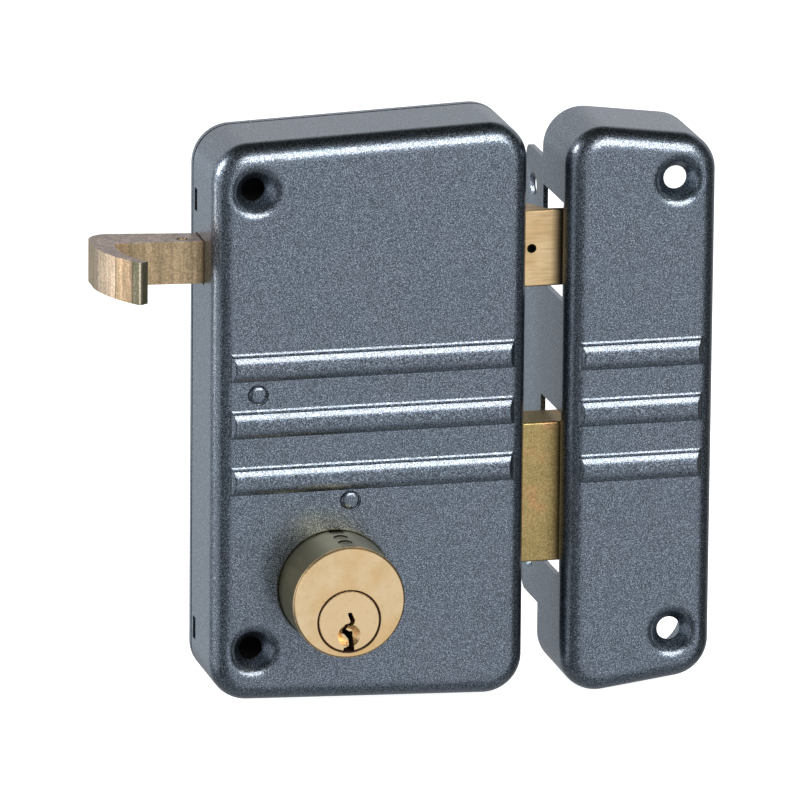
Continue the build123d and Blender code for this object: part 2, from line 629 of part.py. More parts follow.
def make_pin_springs():
    wire_r, radius = 0.16, 1.1
    low = DRIVER_LOW + DRIVER_LENGTH + wire_r + 0.03
    high = CYLINDER_Z + CYLINDER_R - CAP_SINK - CAP_THICK - wire_r - 0.03
    springs = [
        coil(radius, wire_r, high - low, 6, (CYLINDER_X, -depth, low), (0, 0, 1)).part
        for depth in CHAMBER_DEPTHS
    ]
    with BuildPart() as group:
        add(springs)
    return group


def make_cylinder_screws():
    with BuildPart() as screws:
        for side in (-1, 1):
            x = CYLINDER_X + side * CYLINDER_SCREW_OFFSET
            disc(x, PLUG_Z, CYLINDER_SCREW_R, 0.02, CYLINDER_REAR + 7)
            disc(x, PLUG_Z, CYLINDER_SCREW_R + 1.2, 0.02, 1.2, taper=45)
            block(x - 2.6, x + 2.6, PLUG_Z - 0.35, PLUG_Z + 0.35, 0, 0.6, mode=Mode.SUBTRACT)
    return screws


def involute(angle):
    """Involute function of a pressure angle."""
    return tan(angle) - angle


def pinion_outline():
    """Corner points of the pinion, with one tooth pointing straight up."""
    base_r = GEAR_PITCH_R * cos(PRESSURE_ANGLE)
    tip_r = GEAR_PITCH_R + ADDENDUM
    root_r = GEAR_PITCH_R - DEDENDUM
    steps = 4
    radii = [base_r + (tip_r - base_r) * i / (steps - 1) for i in range(steps)]
    half_angles = [
        TOOTH_HALF / GEAR_PITCH_R + involute(PRESSURE_ANGLE) - involute(acos(min(1, base_r / r)))
        for r in radii
    ]
    flank = [(root_r, half_angles[0])] + list(zip(radii, half_angles))
    points = []
    for tooth in range(GEAR_TEETH):
        middle = pi / 2 + 2 * pi * tooth / GEAR_TEETH
        side = [(r, middle - half) for r, half in flank]
        side += [(r, middle + half) for r, half in reversed(flank)]
        points += [(CYLINDER_X + r * cos(a), PLUG_Z + r * sin(a)) for r, a in side]
    return points


def make_drive_pinion():
    with BuildPart() as pinion:
        prism(RACK_REAR + 0.1, RACK_FRONT - 0.1, *pinion_outline())
        disc(CYLINDER_X, PLUG_Z, NECK_R, RACK_REAR - 0.2, RACK_FRONT + 0.15)
        disc(CYLINDER_X, PLUG_Z, JOURNAL_R, 0.3, RACK_REAR - 0.1)
        # tongue that fits the plug's slot
        block(CYLINDER_X - 3.6, CYLINDER_X + 3.6, PLUG_Z - 0.9, PLUG_Z + 0.9,
              RACK_FRONT + 0.1, PLUG_REAR + 1.9)
        # key cam below the journal, in the lever's layer
        with BuildSketch(layer(LEVER_REAR - 0.1)):
            with Locations((CYLINDER_X, PLUG_Z)):
                Circle(4)
            with Locations((CYLINDER_X, PLUG_Z - CAM_R / 2 + 0.9)):
                Rectangle(3.6, CAM_R - 1.8)
            with Locations((CYLINDER_X, PLUG_Z - CAM_R + 1.8)):
                Circle(1.8)
        extrude(amount=LEVER_FRONT - LEVER_REAR + 0.2)
        # blade slot for the tailpiece of an outside cylinder
        block(CYLINDER_X - 2, CYLINDER_X + 2, PLUG_Z - 0.6, PLUG_Z + 0.6, 0, 5.0, mode=Mode.SUBTRACT)
    return pinion


# ---- deadbolt ----
def make_deadbolt():
    low, high = DEADBOLT_Z - DEADBOLT_HEIGHT / 2, DEADBOLT_Z + DEADBOLT_HEIGHT / 2
    with BuildPart() as bolt:
        block(DEADBOLT_BACK_X, DEADBOLT_TIP_X, low, high, BOLT_REAR, BOLT_FRONT)
        chamfer(bolt.faces().sort_by(Axis.X)[-1].edges(), 0.5)
        chamfer(bolt.edges().filter_by(Axis.X).group_by(Axis.Y)[0], 0.3)
        # rear recess for the rack plate
        block(DEADBOLT_BACK_X - 1, RACK_RIGHT + 0.1, RACK_ARM_LOW - 0.1, RACK_TOP + 0.1,
              BOLT_REAR - 1, RACK_FRONT + 0.02, mode=Mode.SUBTRACT)
        for x, z in RACK_RIVETS:
            disc(x, z, RACK_RIVET_R + 0.02, BOLT_REAR - 1, 13.05, mode=Mode.SUBTRACT)
    return bolt


def rack_outline():
    """Edge of the rack plate: toothed along the bottom, a plain arm to the deadbolt."""
    pitch_z = PLUG_Z + GEAR_PITCH_R
    root_z, tip_z = pitch_z + DEDENDUM, pitch_z - ADDENDUM
    root_half = TOOTH_HALF + DEDENDUM * tan(PRESSURE_ANGLE)
    tip_half = TOOTH_HALF - ADDENDUM * tan(PRESSURE_ANGLE)
    first = CYLINDER_X - 1.5 * TOOTH_PITCH
    points = [(RACK_LEFT, RACK_TOP), (RACK_LEFT, root_z)]
    for tooth in range(RACK_TEETH):
        middle = first + tooth * TOOTH_PITCH
        points += [
            (middle - root_half, root_z),
            (middle - tip_half, tip_z),
            (middle + tip_half, tip_z),
            (middle + root_half, root_z),
        ]
    arm_left = points[-1][0] + 1.5
    points += [(arm_left, root_z), (arm_left, RACK_ARM_LOW), (RACK_RIGHT, RACK_ARM_LOW)]
    return points + [(RACK_RIGHT, RACK_TOP)]


def make_rack_tail_plate():
    slot_left = GUIDE_X - GUIDE_POST_R - 0.3
    slot_right = GUIDE_X + BOLT_TRAVEL + GUIDE_POST_R + 0.3
    with BuildPart() as plate:
        prism(RACK_REAR, RACK_FRONT, *rack_outline())
        with BuildSketch(layer(RACK_REAR - 1)):
            with Locations(((slot_left + slot_right) / 2, GUIDE_Z)):
                SlotOverall(slot_right - slot_left, 2 * GUIDE_POST_R + 0.2)
        extrude(amount=RACK_FRONT - RACK_REAR + 2, mode=Mode.SUBTRACT)
        for x, z in RACK_RIVETS:
            disc(x, z, RACK_RIVET_R + 0.02, RACK_REAR - 1, RACK_FRONT + 1, mode=Mode.SUBTRACT)
    return plate


def make_rack_rivets():
    with BuildPart() as rivets:
        for x, z in RACK_RIVETS:
            disc(x, z, RACK_RIVET_R, RACK_REAR, 13.0)
    return rivets


def make_bolt_friction_spring():
    foot = -PLATE - 0.05 - LEAF_THICK / 2
    crest = -BOLT_REAR + 0.15 + LEAF_THICK / 2
    halfway = (20.5, (foot + crest) / 2)
    with BuildPart() as spring:
        with BuildSketch(Plane.XY.offset(DEADBOLT_Z - LEAF_WIDTH / 2)):
            with BuildLine():
                flat = Line((LEAF_LEFT, foot), (14, foot))
                rise = TangentArc(flat @ 1, halfway, tangent=(1, 0))
                bend = TangentArc(halfway, (LEAF_CREST_X, crest), tangent=rise % 1)
                TangentArc(bend @ 1, (LEAF_CREST_X + 3.4, crest + 0.7), tangent=(1, 0))
            trace(line_width=LEAF_THICK)
        extrude(amount=LEAF_WIDTH)
        disc(*LEAF_RIVET, STOP_RIVET_R + 0.02, 0, PLATE + 3, mode=Mode.SUBTRACT)
    return spring


def make_friction_spring_rivet():
    seat = PLATE + 0.05 + LEAF_THICK
    with BuildPart() as rivet:
        disc(*LEAF_RIVET, STOP_RIVET_R, 0, seat + 0.02)
        disc(*LEAF_RIVET, STOP_RIVET_R + 0.9, seat + 0.02, seat + 0.8)
    return rivet


# ---- keeper ----
def make_keeper():
    shell = (KEEPER_LEFT, KEEPER_RIGHT, KEEPER_HALF_LEFT, KEEPER_HALF_RIGHT, KEEPER_Z)
    rib_ends = (KEEPER_RIB_LEFT, KEEPER_RIB_RIGHT)
    outer = pressed_box(*shell, 0, 0)
    inner = pressed_box(*shell, -1, SHEET)
    ridges = ribs(*rib_ends, KEEPER_Z)
    with BuildPart() as keeper:
        add(outer)
        add(inner, mode=Mode.SUBTRACT)
        add(ridges)
        hollow_ribs(*rib_ends, KEEPER_Z)
        dished_holes(KEEPER_SCREW_X, KEEPER_SCREW_Z, KEEPER_SCREW_HALF)
        flange()
        for low, high in ((22.9, 45.1), (-39.7, -2.3)):
            block(KEEPER_LEFT - 1, KEEPER_LEFT + 3, low, high, 0.8, 18.0, mode=Mode.SUBTRACT)
    return keeper


def flange():
    """Strip that runs back from the keeper's left wall, with two countersunk holes."""
    with BuildSketch(Plane.YZ.offset(KEEPER_LEFT)) as strip:
        with Locations(((FLANGE_REACH - 4) / 2, FLANGE_Z)):
            RectangleRounded(FLANGE_REACH + 4, 2 * FLANGE_HALF, 3)
    extrude(strip.sketch, amount=SHEET)
    with Locations(*[
        Location((KEEPER_LEFT, FLANGE_HOLE_Y, FLANGE_Z + side * FLANGE_HOLE_HALF), (0, -90, 0))
        for side in (-1, 1)
    ]):
        CounterSinkHole(radius=FLANGE_HOLE_R, counter_sink_radius=FLANGE_HOLE_R + 0.8, depth=4)


MAKERS = {
    "lock_cover": make_lock_cover,
    "base_plate": make_base_plate,
    "bolt_guide_plate": make_bolt_guide_plate,
    "screw_sleeves": make_screw_sleeves,
    "lever_pivot_rivet": make_lever_pivot_rivet,
    "bolt_guide_rivet": make_bolt_guide_rivet,
    "latch_bolt": make_latch_bolt,
    "latch_grub_screw": make_latch_grub_screw,
    "latch_tail_bar": make_latch_tail_bar,
    "lever_drive_pin": make_lever_drive_pin,
    "pull_handle": make_pull_handle,
    "handle_pin": make_handle_pin,
    "latch_spring": make_latch_spring,
    "spring_stop": make_spring_stop,
    "spring_stop_rivets": make_spring_stop_rivets,
    "latch_lever": make_latch_lever,
    "cylinder_body": make_cylinder_body,
    "cylinder_plug": make_cylinder_plug,
    "plug_clip": make_plug_clip,
    "key_pins": make_key_pins,
    "driver_pins": make_driver_pins,
    "chamber_caps": make_chamber_caps,
    "pin_springs": make_pin_springs,
    "cylinder_screws": make_cylinder_screws,
    "drive_pinion": make_drive_pinion,
    "deadbolt": make_deadbolt,
    "rack_tail_plate": make_rack_tail_plate,
    "rack_rivets": make_rack_rivets,
    "bolt_friction_spring": make_bolt_friction_spring,
    "friction_spring_rivet": make_friction_spring_rivet,
    "keeper": make_keeper,
}

os.makedirs("parts", exist_ok=True)
for name, make in MAKERS.items():
    piece = make()
    piece.part.label = name
    export_step(piece.part, f"parts/{name}.step")
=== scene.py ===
"""Looks of the rim night latch and its keeper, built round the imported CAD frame.

Lengths inside the shape functions are millimetres in the frame's own axes: X to the keeper, Y back into
the door, Z up. A depth is the distance in front of the door face, so it is minus Y. Meshes are in metres.
"""
import json
import math

import bmesh
import bpy
from mathutils import Matrix, Vector
from mathutils.geometry import delaunay_2d_cdt


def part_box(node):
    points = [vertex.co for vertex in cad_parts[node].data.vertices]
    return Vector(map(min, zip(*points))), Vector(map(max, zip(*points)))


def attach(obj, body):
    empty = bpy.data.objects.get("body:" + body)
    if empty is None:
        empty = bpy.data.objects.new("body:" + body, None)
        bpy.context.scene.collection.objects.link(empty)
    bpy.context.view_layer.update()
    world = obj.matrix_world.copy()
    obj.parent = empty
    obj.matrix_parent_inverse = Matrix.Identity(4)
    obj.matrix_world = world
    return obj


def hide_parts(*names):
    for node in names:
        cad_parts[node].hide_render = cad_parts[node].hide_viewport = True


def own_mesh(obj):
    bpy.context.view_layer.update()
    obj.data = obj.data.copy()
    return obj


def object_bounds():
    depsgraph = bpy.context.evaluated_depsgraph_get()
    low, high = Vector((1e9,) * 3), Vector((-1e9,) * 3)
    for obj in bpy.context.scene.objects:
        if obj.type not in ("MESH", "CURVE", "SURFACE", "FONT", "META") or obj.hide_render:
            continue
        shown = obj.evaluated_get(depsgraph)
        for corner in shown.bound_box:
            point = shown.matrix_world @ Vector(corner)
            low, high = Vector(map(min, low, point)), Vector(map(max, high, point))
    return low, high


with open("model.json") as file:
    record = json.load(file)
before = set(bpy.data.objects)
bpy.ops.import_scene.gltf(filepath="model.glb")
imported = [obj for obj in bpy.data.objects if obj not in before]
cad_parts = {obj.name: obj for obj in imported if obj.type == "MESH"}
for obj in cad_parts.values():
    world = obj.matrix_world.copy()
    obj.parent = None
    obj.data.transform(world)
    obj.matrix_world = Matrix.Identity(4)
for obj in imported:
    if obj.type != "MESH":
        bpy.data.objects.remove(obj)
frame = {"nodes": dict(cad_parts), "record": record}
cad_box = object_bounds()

MM = 0.001
FLOOR_GLOW = 0.92            # the floor's own light, which keeps it white

# ---- pressed sheet, the values of the CAD source ----
SHEET = 1.1                  # thickness
FACE = 23.0                  # depth of the front face
CORNER_R = 8.5
BEND_R = 4.5
STRAIGHT_STEP = 1.5          # spacing of the points along a shell's straight sides
COVER_REAR = 2.2             # the case shell's edge in front of the door
CASE_HALVES = (62.2, 64.7)   # half heights at the left and right edges
KEEPER_HALVES = (64.9, 60.6)
KEEPER_Z = -1.65
RIB_TOPS = (16.2, 3.5, -9.2)
RIB_RISE, RIB_END = 1.0, 1.4         # height, and length of the ramp at each end
# Across a rib, by distance below its line: a lip, a groove, a wall, a slope, the flat top and the toe.
LIP_START, LIP_CREST, LIP_RISE = -0.24, 0.12, 0.19
GROOVE, GROOVE_RISE = (0.35, 0.38), 0.02
WALL_END, WALL_RISE = 0.72, 0.42
SLOPE_END, SLOPE_RISE = 1.0, 0.568
RIB_FLAT, RIB_TOE = (2.5, 3.3), 6.14
RIB_CHANNEL = 0.8            # depth of the channel behind a rib
CHANNEL_SIDES = ((1.5, 2.6), (4.2, 5.3))     # where the channel's two sides begin and end
CASE_RIB_ENDS = (-31.5, 32.1)
KEEPER_RIB_ENDS = (46.4, 74.5)
SCREW_R = 2.6
DISH_R, DISH_DEPTH = 6.5, 3.3
DISH_ROLL_R = 3.0            # radius of the funnel's rolled edge
SLEEVE_WALL = 1.05           # the funnel's inner end reaches this far past the hole
CASE_DISHES = ((-26.0, 52.2), (-26.0, -50.8))
KEEPER_DISHES = ((68.4, 50.0), (68.4, -52.2))
RIVETS = ((-25.3, 7.0), (-4.6, -17.9))
RIVET_R, RIVET_HOLE_R = 1.5, 1.52
POST_TOP, POST_FOOT = 21.87, 1.53    # a rivet's post, from behind the sheet to the base plate
LEVER_POST = ((2.5, POST_TOP), (2.5, 2.4), (3.7, 2.4), (3.7, POST_FOOT))
GUIDE_POST = ((2.0, POST_TOP), (2.0, POST_FOOT))
RIVET_GROOVE_R = 2.3
CYLINDER = (-8.0, -36.9)
CYLINDER_R = 12.5
PLUG_Z = -41.1
PLUG_R = 6.85
CAPS_Z = (-31, -30)          # the chamber caps lie above this height on the housing
LATCH_Z = 34.6
BOLT_DEPTHS = (5.45, 15.95)  # depths of both bolt openings in the case wall
LATCH_OPENING = (25.75, 43.45)       # heights of the openings in the case's right wall
DEADBOLT_OPENING = (-36.65, -4.55)
PULL_OPENING = (29.6, 39.6)          # and of the one for the pull in its left wall
PULL_DEPTHS = (4.7, 13.1)
TAB_SLOTS = ((-1, 46.8), (-1, -49.9), (1, 51.5), (1, -49.9))     # side and height of the tab slots
TAB_HALF, TAB_DEPTHS = 2.5, (3.5, 6.0)
KEEPER_OPENINGS = ((22.9, 45.1), (-39.7, -2.3))    # where the bolts enter the keeper
KEEPER_OPENING_DEPTHS = (0.8, 18.0)
LATCH_NOSE = (41.6, 43.9)    # X where the painted shade on the latch's nose, from the keeper's wall, begins and is full
HOOK_BANDS = (12.0, 28.0)    # depths of the two ends of the pull's banded hook
PULL_PIN = (-39.3, -9.5)     # X and Y of the pin in the pull
PULL_PIN_R = 0.95
SPRING_ENDS = (0.0, 16.0)    # the stop's face and the latch's back
SPRING_DEPTH = 9.5
SPRING_R, SPRING_WIRE_R, SPRING_TURNS = 3.9, 0.4, 6
FLANGE = (-50.5, 51.0)       # height span of the keeper's flange
FLANGE_REACH, FLANGE_CORNER_R = 14.3, 3.0
FLANGE_HOLES = (42.75, -42.25)
FLANGE_HOLE_Y = 8.0
FLANGE_HOLE_R = 2.1
FLANGE_SINK = 0.85           # the countersink reaches this far past the hole


# ---- general helpers ----
def smooth_step(value, low, high):
    """0 below low, 1 above high, and a soft rise between."""
    share = min(1.0, max(0.0, (value - low) / (high - low)))
    return share * share * (3 - 2 * share)


def steps(low, high, count):
    """Evenly spaced values from low to high, both ends included."""
    return [low + (high - low) * i / count for i in range(count + 1)]


def finish_piece(name, mesh, material, body, replaced):
    """Links a mesh as a piece that rides on a body and stands for CAD nodes."""
    piece = bpy.data.objects.new(name, mesh)
    bpy.context.scene.collection.objects.link(piece)
    mesh.materials.append(material)
    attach(piece, body)
    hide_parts(*replaced)
    return piece


def mesh_from(name, points, faces, sharp_degrees):
    """Closed mesh in metres from millimetre points, smooth except at its sharp edges."""
    work = bmesh.new()
    corners = [work.verts.new(Vector(p) * MM) for p in points]
    for face in faces:
        work.faces.new([corners[i] for i in face])
    bmesh.ops.recalc_face_normals(work, faces=work.faces)
    mesh = bpy.data.meshes.new(name)
    work.to_mesh(mesh)
    work.free()
    mesh.shade_smooth()
    mesh.set_sharp_from_angle(angle=math.radians(sharp_degrees))
    return mesh


# ---- pressed shells: case and keeper ----
class Sheet:
    """Sheet metal as pairs of points, one on each of its faces, closed along every free edge."""

    def __init__(self):
        self.pairs, self.index, self.faces = [], {}, []

    def pair(self, outer, inner):
        key = tuple(round(v, 4) for v in (*outer, *inner))
        if key not in self.index:
            self.index[key] = len(self.pairs)
            self.pairs.append((outer, inner))
        return self.index[key]

    def face(self, *corners):
        distinct = [c for i, c in enumerate(corners) if c != corners[i - 1]]
        if len(distinct) > 2:
            self.faces.append(distinct)

    def grid(self, rows, closed=False, skip=None):
        """Faces between rows of point numbers."""
        for r in range(len(rows) - 1):
            near, far = rows[r], rows[r + 1]
            last = len(near) if closed else len(near) - 1
            for c in range(last):
                after = (c + 1) % len(near)
                if skip is None or not skip(r, c):
                    self.face(near[c], near[after], far[after], far[c])

    def fill(self, border, inner_borders, axes, loose=()):
        """Stretch inside one border and outside the others, seen along the third axis. Loose points
        are used where they are clear of the inner borders."""
        points, edges, numbers, outlines = [], [], [], []
        for loop in (border, *inner_borders):
            start = len(points)
            outline = [(self.pairs[n][0][axes[0]], self.pairs[n][0][axes[1]]) for n in loop]
            outlines.append(outline)
            points += [Vector(p) for p in outline]
            numbers += loop
            edges += [(start + i, start + (i + 1) % len(loop)) for i in range(len(loop))]
        for number in loose:
            outer = self.pairs[number][0]
            point = (outer[axes[0]], outer[axes[1]])
            if not any(contains(o, point) or distance_to(o, point) < 0.12 for o in outlines[1:]):
                points.append(Vector(point))
                numbers.append(number)
        flat, _, triangles, origins, _, _ = delaunay_2d_cdt(points, edges, [], 0, 1e-5)
        for triangle in triangles:
            a, b, c = (flat[i] for i in triangle)
            longest = max((b - a).length, (c - b).length, (a - c).length)
            sliver = abs((b - a).cross(c - a)) < 5e-4 * longest
            inside = [contains(outline, (a + b + c) / 3) for outline in outlines]
            if inside[0] and not sliver and not any(inside[1:]):
                self.face(*[numbers[origins[i][0]] for i in triangle])

    def mesh(self, name, sharp_degrees):
        count = len(self.pairs)
        uses = {}
        for face in self.faces:
            for i, corner in enumerate(face):
                edge = frozenset((corner, face[i - 1]))
                uses[edge] = uses.get(edge, 0) + 1
        faces = [list(face) for face in self.faces]
        faces += [[i + count for i in reversed(face)] for face in self.faces]
        for edge, number in uses.items():
            if number == 1:
                a, b = edge
                faces.append([a, b, b + count, a + count])
        points = [outer for outer, _ in self.pairs] + [inner for _, inner in self.pairs]
        return mesh_from(name, points, faces, sharp_degrees)


def contains(outline, point):
    """Whether a closed outline holds a point."""
    inside = False
    for i, (x1, y1) in enumerate(outline):
        x0, y0 = outline[i - 1]
        if (y0 > point[1]) != (y1 > point[1]):
            if point[0] < (x1 - x0) * (point[1] - y0) / (y1 - y0) + x0:
                inside = not inside
    return inside


def distance_to(outline, point):
    """Distance from a point to a closed outline."""
    place = Vector(point)
    best = 1e9
    for i, end in enumerate(outline):
        start, run = Vector(outline[i - 1]), Vector(end) - Vector(outline[i - 1])
        share = min(1.0, max(0.0, (place - start).dot(run) / max(run.length_squared, 1e-12)))
        best = min(best, (start + run * share - place).length)
    return best


def rounded_outline(corners, radius, marks):
    """Points and outward normals round a polygon with round corners, and the centres of its corner
    arcs. Marks are (x, z) points that its straight sides must also have."""
    arcs = []
    for i, corner in enumerate(corners):
        corner = Vector(corner)
        before = (corner - Vector(corners[i - 1])).normalized()
        after = (Vector(corners[(i + 1) % len(corners)]) - corner).normalized()
        start, end = (Vector((d.y, -d.x)) for d in (before, after))
        turn = start.angle(end)
        centre = corner - before * radius * math.tan(turn / 2) - start * radius
        normals = []
        for share in steps(0, turn, 16):
            normals.append(start * math.cos(share) + before * math.sin(share))
        arcs.append([(centre + normal * radius, normal) for normal in normals])
    result = []
    for i, arc in enumerate(arcs):
        first, last = arcs[i - 1][-1][0], arc[0][0]
        run = last - first
        stops = set(steps(0, 1, int(run.length / STRAIGHT_STEP))[1:-1])
        for mark in marks:
            along = (Vector(mark) - first).dot(run) / run.length_squared
            off = abs((Vector(mark) - first).cross(run)) / run.length
            if 0 < along < 1 and off < 1e-3:
                stops = {s for s in stops if abs(s - along) * run.length > STRAIGHT_STEP / 3} | {along}
        result += [(first + run * share, arc[0][1]) for share in sorted(stops)]
        result += arc
    return result, [arc[0][0] - arc[0][1] * radius for arc in arcs]


def inset_of(centres, x, z):
    """How far a point lies inside a rounded outline, up to the corner radius."""
    if contains(centres, (x, z)):
        return CORNER_R
    return CORNER_R - distance_to(centres, (x, z))


def bend_drop(inset, radius):
    """How far the face has fallen away at an inset inside the front bend, for a bend radius."""
    across = min(radius, max(0.0, BEND_R - inset))
    return radius - math.sqrt(radius * radius - across * across)


def rib_lines():
    """Distances below a rib's line where its section has points, closer together where it bends."""
    lines = steps(LIP_START, LIP_CREST, 5) + steps(LIP_CREST, GROOVE[1], 4)[1:]
    lines += steps(GROOVE[1], WALL_END, 4)[1:] + steps(WALL_END, SLOPE_END, 2)[1:]
    lines += steps(SLOPE_END, RIB_FLAT[0], 6)[1:]
    flat_end = RIB_FLAT[1]
    return lines + [flat_end + (RIB_TOE - flat_end) * math.sin(t) for t in steps(0, math.pi / 2, 10)]


def rib_height(drop):
    """Height of a rib at a distance below its line. The slope eases onto the flat top, which rounds
    down to the toe."""
    if drop < LIP_CREST:
        share = (LIP_CREST - drop) / (LIP_CREST - LIP_START)
        return LIP_RISE * (1 - share ** 1.4)
    if drop < GROOVE[1]:
        return LIP_RISE - (LIP_RISE - GROOVE_RISE) * smooth_step(drop, LIP_CREST, GROOVE[0])
    if drop < WALL_END:
        share = (WALL_END - drop) / (WALL_END - GROOVE[1])
        return WALL_RISE - (WALL_RISE - GROOVE_RISE) * (share + share ** 2) / 2
    if drop < SLOPE_END:
        return WALL_RISE + (SLOPE_RISE - WALL_RISE) * (drop - WALL_END) / (SLOPE_END - WALL_END)
    if drop < RIB_FLAT[0]:
        share = (RIB_FLAT[0] - drop) / (RIB_FLAT[0] - SLOPE_END)
        return RIB_RISE - (RIB_RISE - SLOPE_RISE) * share ** 2
    share = max(0.0, drop - RIB_FLAT[1]) / (RIB_TOE - RIB_FLAT[1])
    return RIB_RISE * (1 - share ** 2) ** 0.7


def face_pair(sheet, centres, outer, inner):
    """Pair on the shell's front. Each point is (x, z, height in front of the plain face)."""
    points = []
    for (x, z, height), depth, radius in ((outer, FACE, BEND_R), (inner, FACE - SHEET, BEND_R - SHEET)):
        drop = bend_drop(inset_of(centres, x, z), radius)
        points.append((x, drop - depth - height, z))
    return sheet.pair(*points)


def rib_patch(sheet, centres, ends, top):
    """Pressed rib with its lip carried down round both ends. Returns its border."""
    left, right = ends
    margin = 0.07
    ramp = steps(0, RIB_END, 12)
    ramp += [1.9, 2.4, 2.8]
    columns = [left - margin] + [left + d for d in ramp] + [left + 6, (left + right) / 2, right - 6]
    columns += [right - d for d in reversed(ramp)] + [right + margin]
    heights = [top - LIP_START + margin] + [top - line for line in rib_lines()] + [top - RIB_TOE - margin]
    rows = []
    for z in heights:
        row = []
        for x in columns:
            drop = top - z
            end = min(x - left, right - x)
            height = 0.0
            channel = 0.0
            if LIP_START < drop < RIB_TOE and end > 0:
                height = min(rib_height(drop), RIB_RISE * smooth_step(end, 0, RIB_END))
                channel = RIB_CHANNEL * smooth_step(end, RIB_END, 2 * RIB_END)
                channel *= smooth_step(drop, *CHANNEL_SIDES[0]) - smooth_step(drop, *CHANNEL_SIDES[1])
            row.append(face_pair(sheet, centres, (x, z, height), (x, z, channel)))
        rows.append(row)
    sheet.grid(rows)
    right_side = [row[-1] for row in rows[1:-1]]
    left_side = [row[0] for row in rows[1:-1]]
    return rows[0] + right_side + rows[-1][::-1] + left_side[::-1]


def round_patch(sheet, centres, x, z, profile, segments):
    """Turned shape pressed into the face, from its outer ring to its hole. The profile is a list
    of (outer radius, outer drop, inner radius, inner drop). Returns its outer ring."""
    rings = []
    for outer_r, outer_drop, inner_r, inner_drop in profile:
        ring = []
        for turn in steps(0, 2 * math.pi, segments)[:-1]:
            across, up = math.cos(turn), math.sin(turn)
            outer = (x + outer_r * across, z + outer_r * up, -outer_drop)
            inner = (x + inner_r * across, z + inner_r * up, -inner_drop)
            ring.append(face_pair(sheet, centres, outer, inner))
        rings.append(ring)
    sheet.grid(rings, closed=True)
    return rings[0]


def dish_profile():
    """Drawn-in funnel round a fixing hole: the face rolls over into a steep cone."""
    roll, last = DISH_ROLL_R, math.radians(55)
    profile = [(DISH_R + 0.15, 0, DISH_R + 0.15, 0)]
    for turn in steps(0, last, 14):
        across, down = math.sin(turn), 1 - math.cos(turn)
        profile.append((DISH_R - roll * across, roll * down,
                        DISH_R - (roll - SHEET) * across, (roll - SHEET) * down))
    radius, drop, inner_r, inner_drop = profile[-1]
    for share in (0.25, 0.5, 0.75, 0.97, 1.0):
        profile.append((radius + (SCREW_R - radius) * share, drop + (DISH_DEPTH - drop) * share,
                        inner_r + (SCREW_R + SLEEVE_WALL - inner_r) * share,
                        inner_drop + (DISH_DEPTH - 0.6 - inner_drop) * share))
    return profile + [(SCREW_R, DISH_DEPTH + 0.1, SCREW_R, DISH_DEPTH - 0.55)]


def groove_profile():
    """Ring groove that a rivet head sits in."""
    r = RIVET_GROOVE_R
    flat = [(r + 0.1, 0, r + 0.1, 0), (r + 0.06, 0, r + 0.05, 0), (r + 0.02, 0.04, r, 0)]
    wall = [(r, 0.12, r - 0.1, 0), (r - 0.02, 0.38, r - 0.2, 0), (r - 0.12, 0.42, r - 0.3, 0)]
    return flat + wall + [(RIVET_HOLE_R, 0.42, RIVET_HOLE_R, 0)]


def cylinder_hole_profile():
    """Plain punched hole for the cylinder with a slightly drawn-in edge."""
    r = CYLINDER_R + 0.1
    edge = [(r + 0.2, 0.01, r + 0.2, 0), (r + 0.05, 0.07, r + 0.05, 0), (r, 0.2, r, 0)]
    return [(r + 0.5, 0, r + 0.5, 0), *edge]


